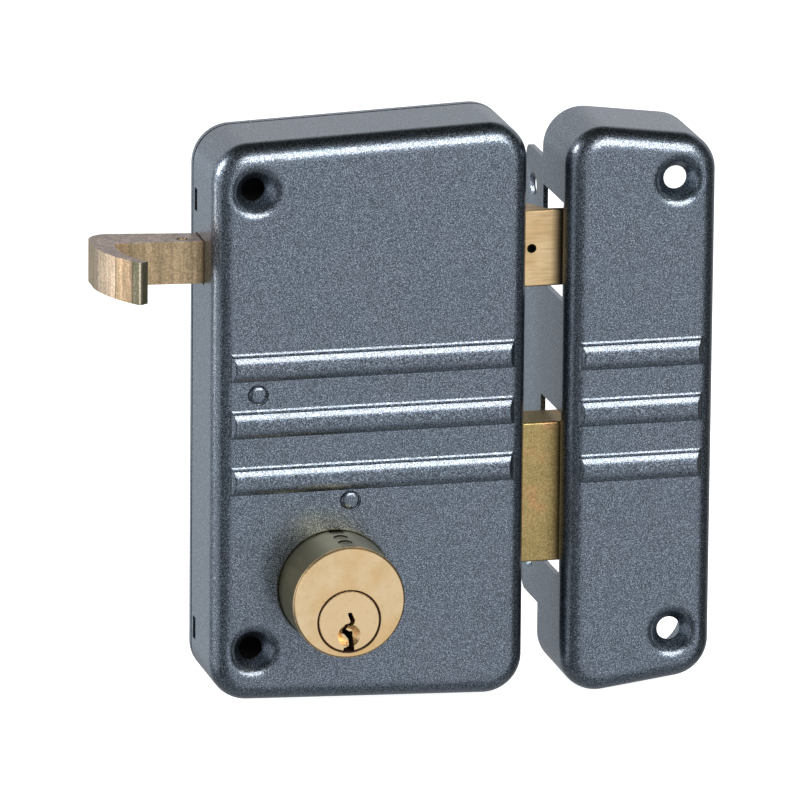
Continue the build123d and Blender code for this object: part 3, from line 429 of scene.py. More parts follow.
def pressed_shell(box, halves, centre_z, rear, ribs, dishes, extra_patches, openings, flange=()):
    """Shell with a round front edge. Openings are (side, low z, high z, rear depth, front depth).
    The left wall's rear edge has points at the two ends of a flange."""
    left, right = box
    half_left, half_right = halves
    corners = [(right, centre_z - half_right), (right, centre_z + half_right),
               (left, centre_z + half_left), (left, centre_z - half_left)]
    marks = [(right if side > 0 else left, z) for side, *span, _, _ in openings for z in span]
    marks += [(left, z) for z in flange]
    outline, centres = rounded_outline(corners, CORNER_R, marks)
    bend_start = FACE - BEND_R
    depths = {rear, rear + 0.3, bend_start - 0.3, bend_start}
    depths |= {d for *_, near, far in openings for d in (near, far)}
    profile = [(0, depth, SHEET, depth) for depth in sorted(depths)]
    inner_r = BEND_R - SHEET
    turns = steps(0, math.pi / 2, 18)
    framed = 12              # the bend's first steps follow its arc, the rest are part of the face
    for turn in turns[1:framed]:
        profile.append((BEND_R * (1 - math.cos(turn)), bend_start + BEND_R * math.sin(turn),
                        SHEET + inner_r * (1 - math.cos(turn)), bend_start + inner_r * math.sin(turn)))
    sheet = Sheet()
    rows = []
    for outer_inset, outer_depth, inner_inset, inner_depth in profile:
        row = []
        for point, normal in outline:
            outer, inner = point - normal * outer_inset, point - normal * inner_inset
            row.append(sheet.pair((outer.x, -outer_depth, outer.y), (inner.x, -inner_depth, inner.y)))
        rows.append(row)

    def in_opening(r, c):
        a, b = outline[c], outline[(c + 1) % len(outline)]
        if r + 1 >= len(depths) or abs(a[1].x) < 0.999 or abs(b[1].x) < 0.999:
            return False
        side = 1 if a[1].x > 0 else -1
        middle_z = (a[0].y + b[0].y) / 2
        middle_depth = (profile[r][1] + profile[r + 1][1]) / 2
        return any(
            side == where and low < middle_z < high and near < middle_depth < far
            for where, low, high, near, far in openings
        )

    rings = []
    for inset in [BEND_R * (1 - math.cos(turn)) for turn in turns[framed:]] + [BEND_R + 0.15]:
        places = [point - normal * inset for point, normal in outline]
        rings.append([face_pair(sheet, centres, (p.x, p.y, 0), (p.x, p.y, 0)) for p in places])
    rows.append(rings[0])
    sheet.grid(rows, closed=True, skip=in_opening)
    patches = [rib_patch(sheet, centres, ribs, top + centre_z) for top in RIB_TOPS]
    patches += [round_patch(sheet, centres, x, z, dish_profile(), 64) for x, z in dishes]
    patches += [round_patch(sheet, centres, x, z, shape, count) for x, z, shape, count in extra_patches]
    sheet.fill(rows[-1], patches, (0, 2), loose=[number for ring in rings[1:] for number in ring])
    return sheet, rows, outline


def make_case_shell(material):
    low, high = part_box("lock_cover")
    box = (low.x / MM, high.x / MM)
    openings = [
        (1, *LATCH_OPENING, *BOLT_DEPTHS),
        (1, *DEADBOLT_OPENING, *BOLT_DEPTHS),
        (-1, *PULL_OPENING, *PULL_DEPTHS),
    ]
    openings += [(side, z - TAB_HALF, z + TAB_HALF, *TAB_DEPTHS) for side, z in TAB_SLOTS]
    extra = [(x, z, groove_profile(), 48) for x, z in RIVETS]
    extra.append((*CYLINDER, cylinder_hole_profile(), 128))
    sheet, _, _ = pressed_shell(
        box, CASE_HALVES, 0, COVER_REAR, CASE_RIB_ENDS, CASE_DISHES, extra, openings
    )
    mesh = sheet.mesh("case_shell", 38)
    return finish_piece("case_shell", mesh, material, "case", ["lock_cover"])


def countersunk_hole(sheet, wall_x, y, z):
    """Countersunk hole through the flange, sunk on its left face. Returns its outer ring."""
    wide = FLANGE_HOLE_R + FLANGE_SINK
    rings = []
    for outer_r, outer_in, inner_r in (
        (wide + 0.1, 0, wide + 0.1),
        (wide, 0.02, wide),
        (FLANGE_HOLE_R + 0.05, 0.86, FLANGE_HOLE_R + 0.4),
        (FLANGE_HOLE_R, 0.95, FLANGE_HOLE_R),
    ):
        ring = []
        for turn in steps(0, 2 * math.pi, 48)[:-1]:
            along, up = math.cos(turn), math.sin(turn)
            outer = (wall_x + outer_in, y + outer_r * along, z + outer_r * up)
            ring.append(sheet.pair(outer, (wall_x + SHEET, y + inner_r * along, z + inner_r * up)))
        rings.append(ring)
    sheet.grid(rings, closed=True)
    return rings[0]


def make_keeper_shell(material):
    low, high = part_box("keeper")
    left, right = low.x / MM, high.x / MM
    openings = [(-1, *heights, *KEEPER_OPENING_DEPTHS) for heights in KEEPER_OPENINGS]
    sheet, rows, outline = pressed_shell(
        (left, right), KEEPER_HALVES, KEEPER_Z, 0, KEEPER_RIB_ENDS, KEEPER_DISHES, [], openings, FLANGE
    )
    edge = [
        rows[0][i] for i, (point, normal) in enumerate(outline)
        if normal.x < -0.999 and FLANGE[0] - 0.01 <= point.y <= FLANGE[1] + 0.01
    ]
    far_edge = []
    for z, sign in ((FLANGE[0], -1), (FLANGE[1], 1)):
        arc = [
            (FLANGE_REACH - FLANGE_CORNER_R * (1 - math.cos(t)),
             z - sign * FLANGE_CORNER_R * (1 - math.sin(t)))
            for t in steps(0, math.pi / 2, 10)
        ]
        far_edge += arc[::-1] if sign < 0 else arc
    border = edge + [sheet.pair((left, y, z), (left + SHEET, y, z)) for y, z in far_edge]
    holes = [countersunk_hole(sheet, left, FLANGE_HOLE_Y, z) for z in FLANGE_HOLES]
    sheet.fill(border, holes, (1, 2))
    mesh = sheet.mesh("keeper_shell", 38)
    return finish_piece("keeper_shell", mesh, material, "case", ["keeper"])


# ---- materials ----
class Nodes:
    """Short way to write a material's node tree."""

    def __init__(self, name):
        self.material = bpy.data.materials.new(name)
        self.material.use_nodes = True
        self.tree = self.material.node_tree
        self.shader = self.tree.nodes["Principled BSDF"]
        self.place = self.add("ShaderNodeTexCoord").outputs["Object"]

    def add(self, kind, **settings):
        node = self.tree.nodes.new(kind)
        for key, value in settings.items():
            setattr(node, key, value)
        return node

    def put(self, node, **values):
        """Links or sets inputs, named with underscores for spaces."""
        for key, value in values.items():
            socket = node.inputs[key.replace("_", " ")]
            if isinstance(value, bpy.types.NodeSocket):
                self.tree.links.new(value, socket)
            else:
                socket.default_value = value
        return node

    def stretched(self, x, y, z):
        """Position scaled per axis, so that a grain runs along the small one."""
        node = self.add("ShaderNodeMapping")
        self.put(node, Vector=self.place, Scale=(x, y, z))
        return node.outputs["Vector"]

    def noise(self, scale, detail=2.0, roughness=0.5, vector=None):
        node = self.add("ShaderNodeTexNoise")
        self.put(node, Vector=vector or self.place, Scale=scale, Detail=detail, Roughness=roughness)
        return node.outputs["Fac"]

    def cells(self, scale):
        """Flat random colour in each cell of a Voronoi pattern."""
        node = self.add("ShaderNodeTexVoronoi")
        self.put(node, Vector=self.place, Scale=scale)
        return node.outputs["Color"]

    def ramp(self, value, *stops):
        """Colour ramp from (position, colour) stops."""
        node = self.add("ShaderNodeValToRGB")
        elements = node.color_ramp.elements
        while len(elements) < len(stops):
            elements.new(0.5)
        for element, (position, colour) in zip(elements, stops):
            element.position = position
            element.color = (*colour, 1) if isinstance(colour, tuple) else (colour, colour, colour, 1)
        self.tree.links.new(value, node.inputs["Fac"])
        return node.outputs["Color"]

    def blend(self, share, first, second, kind="MIX"):
        node = self.add("ShaderNodeMix", data_type="RGBA", blend_type=kind)
        for name, value in (("Factor", share), ("A", first), ("B", second)):
            wanted = "VALUE" if name == "Factor" else "RGBA"
            socket = next(s for s in node.inputs if s.name == name and s.type == wanted)
            if isinstance(value, bpy.types.NodeSocket):
                self.tree.links.new(value, socket)
            else:
                socket.default_value = value if name == "Factor" else (*value, 1)
        return next(s for s in node.outputs if s.type == "RGBA")

    def math(self, kind, first, second=0.0):
        node = self.add("ShaderNodeMath", operation=kind)
        for i, value in enumerate((first, second)):
            if isinstance(value, bpy.types.NodeSocket):
                self.tree.links.new(value, node.inputs[i])
            else:
                node.inputs[i].default_value = value
        return node.outputs[0]

    def from_axis(self, x, z):
        """Distance from an axis along Y, in metres."""
        return self.off_line((x, 0, z), (1, 0, 1))

    def from_upright_axis(self, x, y):
        """Distance from an axis along Z, in metres."""
        return self.off_line((x, y, 0), (1, 1, 0))

    def off_line(self, point, across):
        """Distance from a point, counted only along the axes marked 1."""
        shift = self.add("ShaderNodeVectorMath", operation="SUBTRACT")
        self.tree.links.new(self.place, shift.inputs[0])
        shift.inputs[1].default_value = [v * MM for v in point]
        flat = self.add("ShaderNodeVectorMath", operation="MULTIPLY")
        self.tree.links.new(shift.outputs[0], flat.inputs[0])
        flat.inputs[1].default_value = across
        length = self.add("ShaderNodeVectorMath", operation="LENGTH")
        self.tree.links.new(flat.outputs[0], length.inputs[0])
        return length.outputs["Value"]

    def near(self, value, target, reach):
        """1 where a value lies within reach of a target."""
        node = self.add("ShaderNodeMath", operation="COMPARE")
        self.tree.links.new(value, node.inputs[0])
        node.inputs[1].default_value, node.inputs[2].default_value = target, reach
        return node.outputs[0]

    def coordinate(self, axis):
        parts = self.add("ShaderNodeSeparateXYZ")
        self.tree.links.new(self.place, parts.inputs[0])
        return parts.outputs[axis]

    def span(self, value, low, high):
        """0 below low, 1 above high."""
        node = self.add("ShaderNodeMapRange")
        self.put(node, Value=value, From_Min=low, From_Max=high)
        return node.outputs["Result"]

    def bump(self, height, strength, distance, normal=None):
        node = self.add("ShaderNodeBump")
        self.put(node, Height=height, Strength=strength, Distance=distance)
        if normal is not None:
            self.tree.links.new(normal, node.inputs["Normal"])
        return node.outputs["Normal"]


def hammered_paint():
    """Grey-blue metallic lacquer: fine flakes under a clear, glossy top."""
    n = Nodes("hammered_paint")
    grain = n.noise(4400, detail=1.0, roughness=0.5)
    flakes = n.ramp(grain, (0.31, (0.006, 0.011, 0.013)), (0.45, (0.080, 0.101, 0.127)),
                    (0.57, (0.172, 0.206, 0.248)), (0.73, (0.54, 0.60, 0.67)))
    cloud = n.noise(60, detail=2.0)
    tint = n.ramp(cloud, (0.35, (0.94, 0.98, 1.0)), (0.65, (1.0, 0.98, 1.0)))
    colour = n.blend(1.0, flakes, tint, "MULTIPLY")
    facets = n.bump(grain, 0.11, 0.00003)
    n.put(n.shader, Base_Color=colour, Metallic=1.0, Roughness=0.38, Normal=facets)
    n.put(n.shader, Coat_Weight=1.0, Coat_Roughness=0.19, Coat_IOR=1.6)
    return n.material


def turned_brass(name, lathe_axis, clean_depth):
    """Satin brass turned on an axis along Y: clean on its front face, tarnished behind a depth, with
    a dark line where the plug meets its housing."""
    n = Nodes(name)
    fine = n.noise(1500, detail=3.0, roughness=0.6)
    patch = n.noise(140, detail=4.0, roughness=0.6)
    base = n.ramp(patch, (0.32, (0.80, 0.54, 0.27)), (0.50, (0.90, 0.65, 0.36)), (0.68, (0.96, 0.73, 0.46)))
    specks = n.ramp(n.noise(900, detail=4.0, roughness=0.75), (0.58, (1, 1, 1)), (0.76, (0.74, 0.60, 0.48)))
    tarnish = n.ramp(n.noise(75, detail=3.0, roughness=0.6), (0.44, 0.0), (0.66, 0.80))
    base = n.blend(tarnish, base, (0.84, 0.53, 0.22))
    from_plug = n.from_axis(CYLINDER[0], PLUG_Z)
    on_plug = n.math("MULTIPLY", n.near(from_plug, 0.0, PLUG_R * MM), 0.8)
    base = n.blend(on_plug, base, (0.93, 0.67, 0.38))
    colour = n.blend(1.0, base, specks, "MULTIPLY")
    radius = n.from_axis(*lathe_axis)
    rings = n.add("ShaderNodeCombineXYZ")
    n.put(rings, X=n.math("MULTIPLY", radius, 5200.0), Y=n.math("MULTIPLY", n.coordinate("Y"), 5200.0))
    turning = n.noise(1.0, detail=2.0, vector=rings.outputs[0])
    side = n.span(n.coordinate("Y"), -clean_depth * MM, (0.2 - clean_depth) * MM)
    aged = n.ramp(turning, (0.3, (0.27, 0.235, 0.125)), (0.7, (0.44, 0.39, 0.24)))
    colour = n.blend(side, colour, aged)
    # Painted shade: a thin dark ring just inside the housing's front rim, where its edge turns away.
    rim = n.near(n.from_axis(*CYLINDER), (CYLINDER_R - 0.22) * MM, 0.11 * MM)
    colour = n.blend(n.math("MULTIPLY", rim, 0.65), colour, (0.16, 0.11, 0.05))
    gap = n.near(from_plug, (PLUG_R + 0.05) * MM, 0.20 * MM)
    colour = n.blend(gap, colour, (0.035, 0.018, 0.010))
    on_top = n.span(n.coordinate("Z"), CAPS_Z[0] * MM, CAPS_Z[1] * MM)
    caps = n.math("MULTIPLY", cap_outline(n), on_top)
    caps = n.math("MULTIPLY", caps, side)
    colour = n.blend(caps, colour, (0.02, 0.018, 0.012))
    rough = n.ramp(fine, (0.3, 0.30), (0.7, 0.44))
    normal = n.bump(fine, 0.15, 0.00003, n.bump(turning, 0.12, 0.00002))
    n.put(n.shader, Base_Color=colour, Roughness=rough, Normal=normal)
    n.put(n.shader, Metallic=n.math("SUBTRACT", 1.0, n.math("MULTIPLY", gap, 0.9)))
    return n.material


def cap_outline(n):
    """Dark joint round each of the discs that close the pin chambers."""
    pitch, first, radius = 4.1, 32.4, 1.5
    wrapped = n.add("ShaderNodeMath", operation="WRAP")
    n.tree.links.new(n.math("ADD", n.coordinate("Y"), first * MM), wrapped.inputs[0])
    wrapped.inputs[1].default_value, wrapped.inputs[2].default_value = pitch / 2 * MM, -pitch / 2 * MM
    across = n.math("ADD", n.coordinate("X"), -CYLINDER[0] * MM)
    square = n.math("ADD", n.math("MULTIPLY", across, across),
                    n.math("MULTIPLY", wrapped.outputs[0], wrapped.outputs[0]))
    return n.near(n.math("SQRT", square), radius * MM, 0.14 * MM)


def drawn_brass():
    """Brass bar, ground across its front: fine lines along X, warm yellow, and painted shade on its nose.
    """
    n = Nodes("drawn_brass")
    lines = n.noise(1.0, detail=4.0, roughness=0.7, vector=n.stretched(160, 1600, 2600))
    patch = n.noise(150, detail=2.0)
    base = n.ramp(patch, (0.35, (0.80, 0.54, 0.27)), (0.65, (0.92, 0.66, 0.36)))
    shade = n.ramp(lines, (0.3, 0.72), (0.6, 1.0))
    colour = n.blend(1.0, base, shade, "MULTIPLY")
    # Painted shade: the nose darkens towards its tip, where it runs into the keeper's shadow.
    nose = n.span(n.coordinate("X"), LATCH_NOSE[0] * MM, LATCH_NOSE[1] * MM)
    colour = n.blend(1.0, colour, n.ramp(nose, (0.0, 1.0), (0.5, 0.62), (1.0, 0.16)), "MULTIPLY")
    rough = n.ramp(lines, (0.3, 0.46), (0.7, 0.33))
    n.put(n.shader, Base_Color=colour, Metallic=1.0, Roughness=rough, Normal=n.bump(lines, 0.3, 0.00004))
    return n.material


def speckled_bronze():
    """Cast bronze-brass block, darker and speckled with copper tints."""
    n = Nodes("speckled_bronze")
    grain = n.noise(3600, detail=2.0, roughness=0.6)
    patch = n.noise(170, detail=3.0)
    base = n.ramp(patch, (0.38, (0.50, 0.37, 0.15)), (0.56, (0.57, 0.41, 0.17)), (0.70, (0.68, 0.38, 0.17)))
    shade = n.ramp(grain, (0.32, 0.60), (0.55, 0.93), (0.75, 1.30))
    colour = n.blend(1.0, base, shade, "MULTIPLY")
    rough = n.ramp(grain, (0.3, 0.52), (0.7, 0.38))
    n.put(n.shader, Base_Color=colour, Metallic=1.0, Roughness=rough, Normal=n.bump(grain, 0.35, 0.00005))
    return n.material


def sawn_brass():
    """Aged brass section: upright saw marks on its sides, tan and gold bands along the hook with thin dark
    lines between them and a painted highlight on the tip's edge, and a dark joint round its pin."""
    n = Nodes("sawn_brass")
    saw = n.noise(1.0, detail=3.0, roughness=0.7, vector=n.stretched(900, 900, 60))
    band = n.noise(1.0, detail=1.0, vector=n.stretched(330, 330, 4))
    grain = n.noise(2600, detail=2.0, roughness=0.7)
    patch = n.noise(220, detail=4.0, roughness=0.7)
    base = n.ramp(patch, (0.34, (0.80, 0.80, 0.80)), (0.50, (1.0, 1.0, 0.98)), (0.68, (1.04, 0.98, 1.02)))
    reach = n.span(n.coordinate("Y"), -HOOK_BANDS[0] * MM, -HOOK_BANDS[1] * MM)
    olive, brown, dark = (0.56, 0.41, 0.24), (0.60, 0.47, 0.35), (0.20, 0.16, 0.11)
    tan, gold = (0.97, 0.74, 0.53), (0.57, 0.41, 0.25)
    tarnish, painted_glint = (0.30, 0.28, 0.18), (0.95, 0.82, 0.58)
    # Bands along the hook's depth; the last stop is a painted highlight on the tip's edge.
    bands = n.ramp(reach, (0.03, olive), (0.10, brown), (0.20, tan), (0.575, tan), (0.59, dark),
                   (0.605, gold), (0.865, gold), (0.88, dark), (0.895, tarnish), (0.97, tarnish),
                   (0.985, painted_glint))
    # Faces that look up take one plain tone instead of the bands.
    upward = n.add("ShaderNodeSeparateXYZ")
    n.put(upward, Vector=n.add("ShaderNodeNewGeometry").outputs["Normal"])
    bands = n.blend(n.span(upward.outputs["Z"], 0.6, 0.9), bands, (0.72, 0.56, 0.46))
    base = n.blend(1.0, base, bands, "MULTIPLY")
    shade = n.ramp(saw, (0.36, 0.74), (0.60, 1.05))
    colour = n.blend(1.0, base, shade, "MULTIPLY")
    colour = n.blend(1.0, colour, n.ramp(band, (0.36, 0.84), (0.48, 1.0)), "MULTIPLY")
    colour = n.blend(1.0, colour, n.ramp(grain, (0.32, 0.66), (0.5, 1.0), (0.72, 1.45)), "MULTIPLY")
    joint = n.near(n.from_upright_axis(*PULL_PIN), (PULL_PIN_R + 0.18) * MM, 0.16 * MM)
    colour = n.blend(joint, colour, (0.02, 0.015, 0.01))
    rough = n.ramp(saw, (0.3, 0.46), (0.7, 0.34))
    normal = n.bump(grain, 0.25, 0.00004, n.bump(saw, 0.3, 0.00005))
    n.put(n.shader, Base_Color=colour, Metallic=1.0, Roughness=rough, Normal=normal)
    return n.material


def plated_steel(name, low, high, roughness):
    """Bright zinc or oiled steel with a faint crystal bloom and rolling lines."""
    n = Nodes(name)
    bloom = n.cells(500)
    lines = n.noise(1.0, detail=3.0, vector=n.stretched(90, 900, 1400))
    base = n.ramp(lines, (0.3, low), (0.7, high))
    colour = n.blend(0.10, base, bloom, "OVERLAY")
    rough = n.ramp(n.noise(350, detail=3.0), (0.3, roughness - 0.06), (0.7, roughness + 0.08))
    n.put(n.shader, Base_Color=colour, Metallic=1.0, Roughness=rough, Normal=n.bump(lines, 0.15, 0.00003))
    return n.material


def painted_shade_bore():
    """Matt black inside of the tubes that the case screws pass through: painted shade, so that the screw
    holes look dark deep inside.
    """
    n = Nodes("painted_shade_bore")
    colour = n.ramp(n.noise(800, detail=2.0), (0.3, (0.003, 0.004, 0.003)), (0.7, (0.008, 0.009, 0.007)))
    n.put(n.shader, Base_Color=colour, Roughness=0.95, Specular_IOR_Level=0.05)
    return n.material


def floor_finish():
    """Matt white studio floor, with the faint mottle of painted board."""
    n = Nodes("floor_finish")
    colour = n.ramp(n.noise(9, detail=3.0), (0.3, 0.90), (0.7, 0.93))
    n.put(n.shader, Base_Color=colour, Roughness=0.85, Specular_IOR_Level=0.1)
    n.put(n.shader, Emission_Color=(1, 1, 1, 1), Emission_Strength=FLOOR_GLOW)
    return n.material


# ---- brass pieces ----
def eased_copy(name, material, body, width):
    """A node's own shape with its sharp edges eased, standing for that node."""
    work = bmesh.new()
    work.from_mesh(frame["nodes"][name].data)
    bmesh.ops.remove_doubles(work, verts=work.verts, dist=1e-7)
    bmesh.ops.dissolve_limit(work, angle_limit=math.radians(1), verts=work.verts, edges=work.edges)
    edges = [e for e in work.edges if len(e.link_faces) == 2 and e.calc_face_angle() > math.radians(40)]
    bmesh.ops.bevel(work, geom=edges, offset=width * MM, segments=2, profile=0.5, affect="EDGES",
                    clamp_overlap=True)
    mesh = bpy.data.meshes.new(name + "_eased")
    work.to_mesh(mesh)
    work.free()
    mesh.shade_smooth()
    mesh.set_sharp_from_angle(angle=math.radians(50))
    piece = finish_piece(name + "_eased", mesh, material, body, [name])
    weighted = piece.modifiers.new("flat_faces", "WEIGHTED_NORMAL")
    weighted.keep_sharp = True
    return piece


def turned_piece(name, x, z, profile, material, body, slot, replaced):
    """Lathe shape on an axis along Y. The profile is (radius, depth) from its front to its rear."""
    count = 64
    points, faces, rings = [], [], []
    for radius, depth in profile:
        ring = []
        turns = steps(0, 2 * math.pi, count)[:-1] if radius else [0]
        for turn in turns:
            ring.append(len(points))
            points.append((x + radius * math.cos(turn), -depth, z + radius * math.sin(turn)))
        rings.append(ring)
    for near, far in zip(rings, rings[1:]):
        for i in range(count):
            after = (i + 1) % count
            corners = [near[i % len(near)], near[after % len(near)],
                       far[after % len(far)], far[i % len(far)]]
            faces.append([c for k, c in enumerate(corners) if c != corners[k - 1]])
    mesh = mesh_from(name, points, faces, 40)
    return finish_piece(name, mesh, material, body, replaced)


def rivet_profile(post):
    """Low button head in its groove, then the shank and the post behind the sheet."""
    flat, reach, rim, crown = 0.9, 1.2, FACE - 0.35, 0.75
    head = [(0, rim + crown), (flat, rim + crown - 0.01)]
    for turn in steps(math.radians(12), math.radians(78), 8):
        head.append((flat + reach * math.sin(turn), rim + crown * math.cos(turn)))
    under = [(flat + reach, rim - 0.01), (RIVET_R, rim - 0.01), (RIVET_R, POST_TOP)]
    return head + under + [*post, (RIVET_R, POST_FOOT), (RIVET_R, 0), (0, 0)]


def make_latch_spring(material):
    """Coil between its stop and the latch's back."""
    stop_x, latch_x = SPRING_ENDS
    run = latch_x - stop_x - 2 * SPRING_WIRE_R
    sides, per_turn = 12, 40
    total = SPRING_TURNS * per_turn
    points, faces = [], []
    for i in range(total + 1):
        turn = 2 * math.pi * i / per_turn
        radial = Vector((0, math.cos(turn), math.sin(turn)))
        ahead = Vector((run / total * per_turn / (2 * math.pi), -SPRING_R * radial.z, SPRING_R * radial.y))
        third = ahead.normalized().cross(radial)
        along = stop_x + SPRING_WIRE_R + run * i / total
        middle = Vector((along, -SPRING_DEPTH, LATCH_Z)) + radial * SPRING_R
        for k in range(sides):
            angle = 2 * math.pi * k / sides
            points.append(middle + (radial * math.cos(angle) + third * math.sin(angle)) * SPRING_WIRE_R)
    for i in range(total):
        for k in range(sides):
            after = (k + 1) % sides
            faces.append([i * sides + k, i * sides + after, (i + 1) * sides + after, (i + 1) * sides + k])
    faces += [list(range(sides))[::-1], [total * sides + k for k in range(sides)]]
    mesh = mesh_from("latch_spring_coil", points, faces, 60)
    coil = finish_piece("latch_spring_coil", mesh, material, "case", ["latch_spring"])
    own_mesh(coil)


# ---- studio ----
def add_floor(low_z):
    half = 7.0
    mesh = bpy.data.meshes.new("floor")
    corners = [(-half, -half, low_z), (half, -half, low_z), (half, half, low_z), (-half, half, low_z)]
    mesh.from_pydata(corners, [], [(0, 1, 2, 3)])
    floor = bpy.data.objects.new("floor", mesh)
    bpy.context.scene.collection.objects.link(floor)
    mesh.materials.append(floor_finish())
    floor.visible_diffuse = False
    floor.visible_glossy = False
    floor.visible_shadow = False


def soft_box(name, azimuth, elevation, distance, width, height, power, colour=(1, 1, 1)):
    """Soft box that faces the object. Azimuth 0 is in front, 90 is at the left."""
    a, e = math.radians(azimuth), math.radians(elevation)
    away = Vector((-math.sin(a) * math.cos(e), -math.cos(a) * math.cos(e), math.sin(e)))
    light = bpy.data.lights.new(name, "AREA")
    light.shape = "RECTANGLE"
    light.size, light.size_y = width, height
    light.energy = power
    light.color = colour
    lamp = bpy.data.objects.new(name, light)
    lamp.location = CENTRE + away * distance
    lamp.rotation_mode = "QUATERNION"
    lamp.rotation_quaternion = (-away).to_track_quat("-Z", "Y")
    lamp.visible_camera = False
    bpy.context.scene.collection.objects.link(lamp)


def add_world():
    """Surroundings for the reflections: grey paper behind, white in front and far to the left, a dim
    floor and a dark ceiling. The camera itself sees plain white."""
    world = bpy.data.worlds.new("studio")
    bpy.context.scene.world = world
    world.use_nodes = True
    tree = world.node_tree
    background = tree.nodes["Background"]
    background.inputs["Strength"].default_value = 1.0
    place = tree.nodes.new("ShaderNodeTexCoord")
    parts = tree.nodes.new("ShaderNodeSeparateXYZ")
    tree.links.new(place.outputs["Generated"], parts.inputs["Vector"])

    def span(axis, from_low, from_high, to_low, to_high):
        node = tree.nodes.new("ShaderNodeMapRange")
        node.interpolation_type = "SMOOTHSTEP"
        tree.links.new(parts.outputs[axis], node.inputs["Value"])
        values = (from_low, from_high, to_low, to_high)
        for name, value in zip(("From Min", "From Max", "To Min", "To Max"), values):
            node.inputs[name].default_value = value
        return node.outputs["Result"]

    def join(kind, first, second):
        node = tree.nodes.new("ShaderNodeMath")
        node.operation = kind
        tree.links.new(first, node.inputs[0])
        tree.links.new(second, node.inputs[1])
        return node.outputs[0]

    behind = join("MULTIPLY", span("Y", 0.15, 0.6, 0.0, 1.0), span("Z", 0.4, 0.75, 1.0, 0.0))
    behind = join("MULTIPLY", behind, span("Z", -0.3, 0.25, 0.29, 0.61))
    left = join("MULTIPLY", span("X", -0.95, -0.80, 0.92, 0.0), span("Z", 0.3, 0.55, 1.0, 0.1))
    front = join("MULTIPLY", span("Y", -0.75, -0.45, 0.82, 0.06), span("Z", 0.25, 0.5, 1.0, 0.03))
    front = join("MULTIPLY", front, span("Z", -0.85, -0.5, 0.35, 1.0))
    front = join("MULTIPLY", front, span("X", -0.3, 0.0, 0.28, 1.0))
    below = span("Z", -0.8, -0.45, 0.30, 0.0)
    total = join("MAXIMUM", join("MAXIMUM", behind, front), join("MAXIMUM", left, below))
    seen = tree.nodes.new("ShaderNodeLightPath")
    tinted = tree.nodes.new("ShaderNodeMix")
    tinted.data_type = "RGBA"
    tree.links.new(total, tinted.inputs["Factor"])
    tinted.inputs[6].default_value = (0.012, 0.015, 0.008, 1)
    tinted.inputs[7].default_value = (0.93, 0.98, 1.06, 1)
    shown = tree.nodes.new("ShaderNodeMix")
    shown.data_type = "RGBA"
    tree.links.new(seen.outputs["Is Camera Ray"], shown.inputs["Factor"])
    tree.links.new(tinted.outputs[2], shown.inputs[6])
    shown.inputs[7].default_value = (1, 1, 1, 1)
    tree.links.new(shown.outputs[2], background.inputs["Color"])


def add_camera():
    """Long lens from the left and a little above."""
    azimuth, elevation, roll = (math.radians(v) for v in (-14.132, 15.292, 0.523))
    aim = Vector((12.10, 0, -2.30)) * MM
    distance = 2.4818
    back = Vector((math.sin(azimuth) * math.cos(elevation), -math.cos(azimuth) * math.cos(elevation),
                   math.sin(elevation)))
    right = Vector((math.cos(azimuth), math.sin(azimuth), 0))
    up = back.cross(right)
    turned_right = right * math.cos(roll) + up * math.sin(roll)
    turned_up = up * math.cos(roll) - right * math.sin(roll)
    data = bpy.data.cameras.new("camera")
    data.sensor_width = 36
    data.lens = 509.5
    data.clip_start, data.clip_end = 0.1, 50
    camera = bpy.data.objects.new("camera", data)
    camera.matrix_world = Matrix((turned_right, turned_up, back)).transposed().to_4x4()
    camera.location = aim + back * distance
    bpy.context.scene.collection.objects.link(camera)
    bpy.context.scene.camera = camera


# ---- the object ----
low_corner, high_corner = cad_box
CENTRE = (low_corner + high_corner) / 2

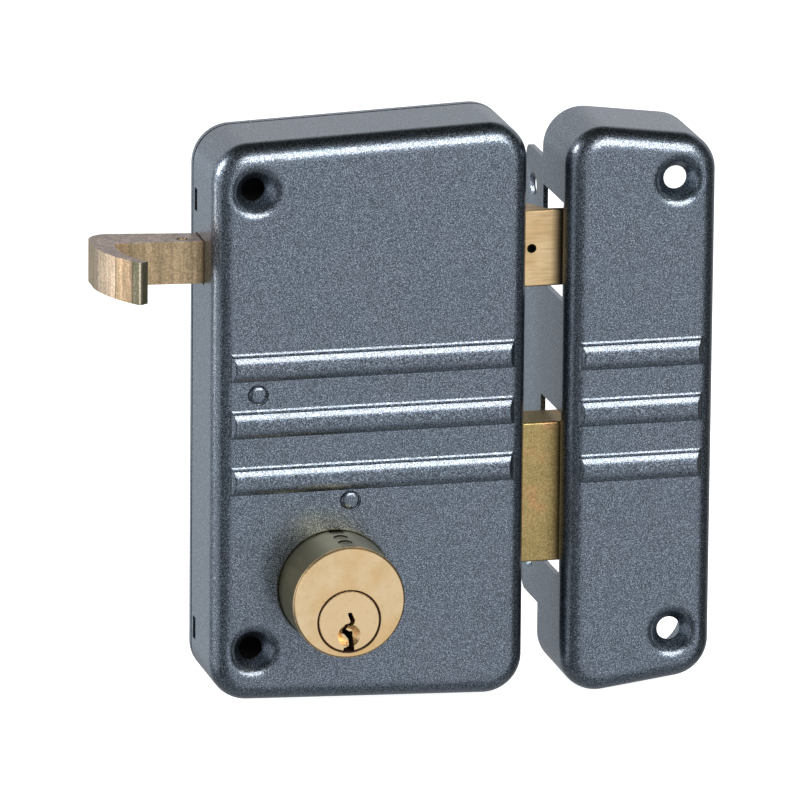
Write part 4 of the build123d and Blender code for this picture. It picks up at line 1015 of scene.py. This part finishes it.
paint = hammered_paint()
housing = turned_brass("housing_brass", CYLINDER, clean_depth=36.2)
turned = turned_brass("plug_brass", (CYLINDER[0], PLUG_Z), clean_depth=34.0)
drawn = drawn_brass()
bronze = speckled_bronze()
sawn = sawn_brass()
zinc = plated_steel("zinc_steel", (0.50, 0.51, 0.52), (0.66, 0.67, 0.68), 0.34)
blackened = plated_steel("blackened_steel", (0.004, 0.005, 0.004), (0.010, 0.011, 0.009), 0.55)
spring = plated_steel("spring_steel", (0.16, 0.165, 0.17), (0.27, 0.275, 0.28), 0.38)

FINISHES = {
    "hammered_paint": paint,
    "yellow_brass": turned,
    "aged_brass": sawn,
    "bronze_brass": bronze,
    "zinc_steel": zinc,
    "spring_steel": spring,
}
for part in frame["record"]["subparts"]:
    node = frame["nodes"][part["node"]]
    node.data.materials.clear()
    node.data.materials.append(FINISHES[part["material_slot"]])
for name in ("cylinder_body", "chamber_caps"):
    frame["nodes"][name].data.materials[0] = housing
# The screw sleeves are painted black, standing for the shade deep in the screw holes.
frame["nodes"]["screw_sleeves"].data.materials[0] = painted_shade_bore()
frame["nodes"]["latch_grub_screw"].data.materials[0] = blackened
frame["nodes"]["handle_pin"].data.materials[0] = drawn

make_case_shell(paint)
make_keeper_shell(paint)

turned_piece("lever_pivot_head", *RIVETS[0], rivet_profile(LEVER_POST), paint, "case", "hammered_paint",
             ["lever_pivot_rivet"])
turned_piece("bolt_guide_head", *RIVETS[1], rivet_profile(GUIDE_POST), paint, "case", "hammered_paint",
             ["bolt_guide_rivet"])
eased_copy("latch_bolt", drawn, "latch", 0.18)
eased_copy("deadbolt", bronze, "bolt", 0.25)
eased_copy("pull_handle", sawn, "latch", 0.28)
make_latch_spring(spring)

add_floor(low_corner.z)
soft_box("key", azimuth=-18, elevation=33, distance=1.3, width=1.1, height=0.68, power=16)
soft_box("left", azimuth=97, elevation=24, distance=1.1, width=0.40, height=0.62, power=8)
soft_box("back_left", azimuth=150, elevation=-13, distance=0.6, width=0.3, height=0.4, power=0.10,
         colour=(0.80, 0.98, 1.15))
soft_box("edge", azimuth=106, elevation=-7, distance=0.55, width=0.12, height=0.10, power=0.14)
add_world()
add_camera()
bpy.context.scene.view_settings.view_transform = "Standard"
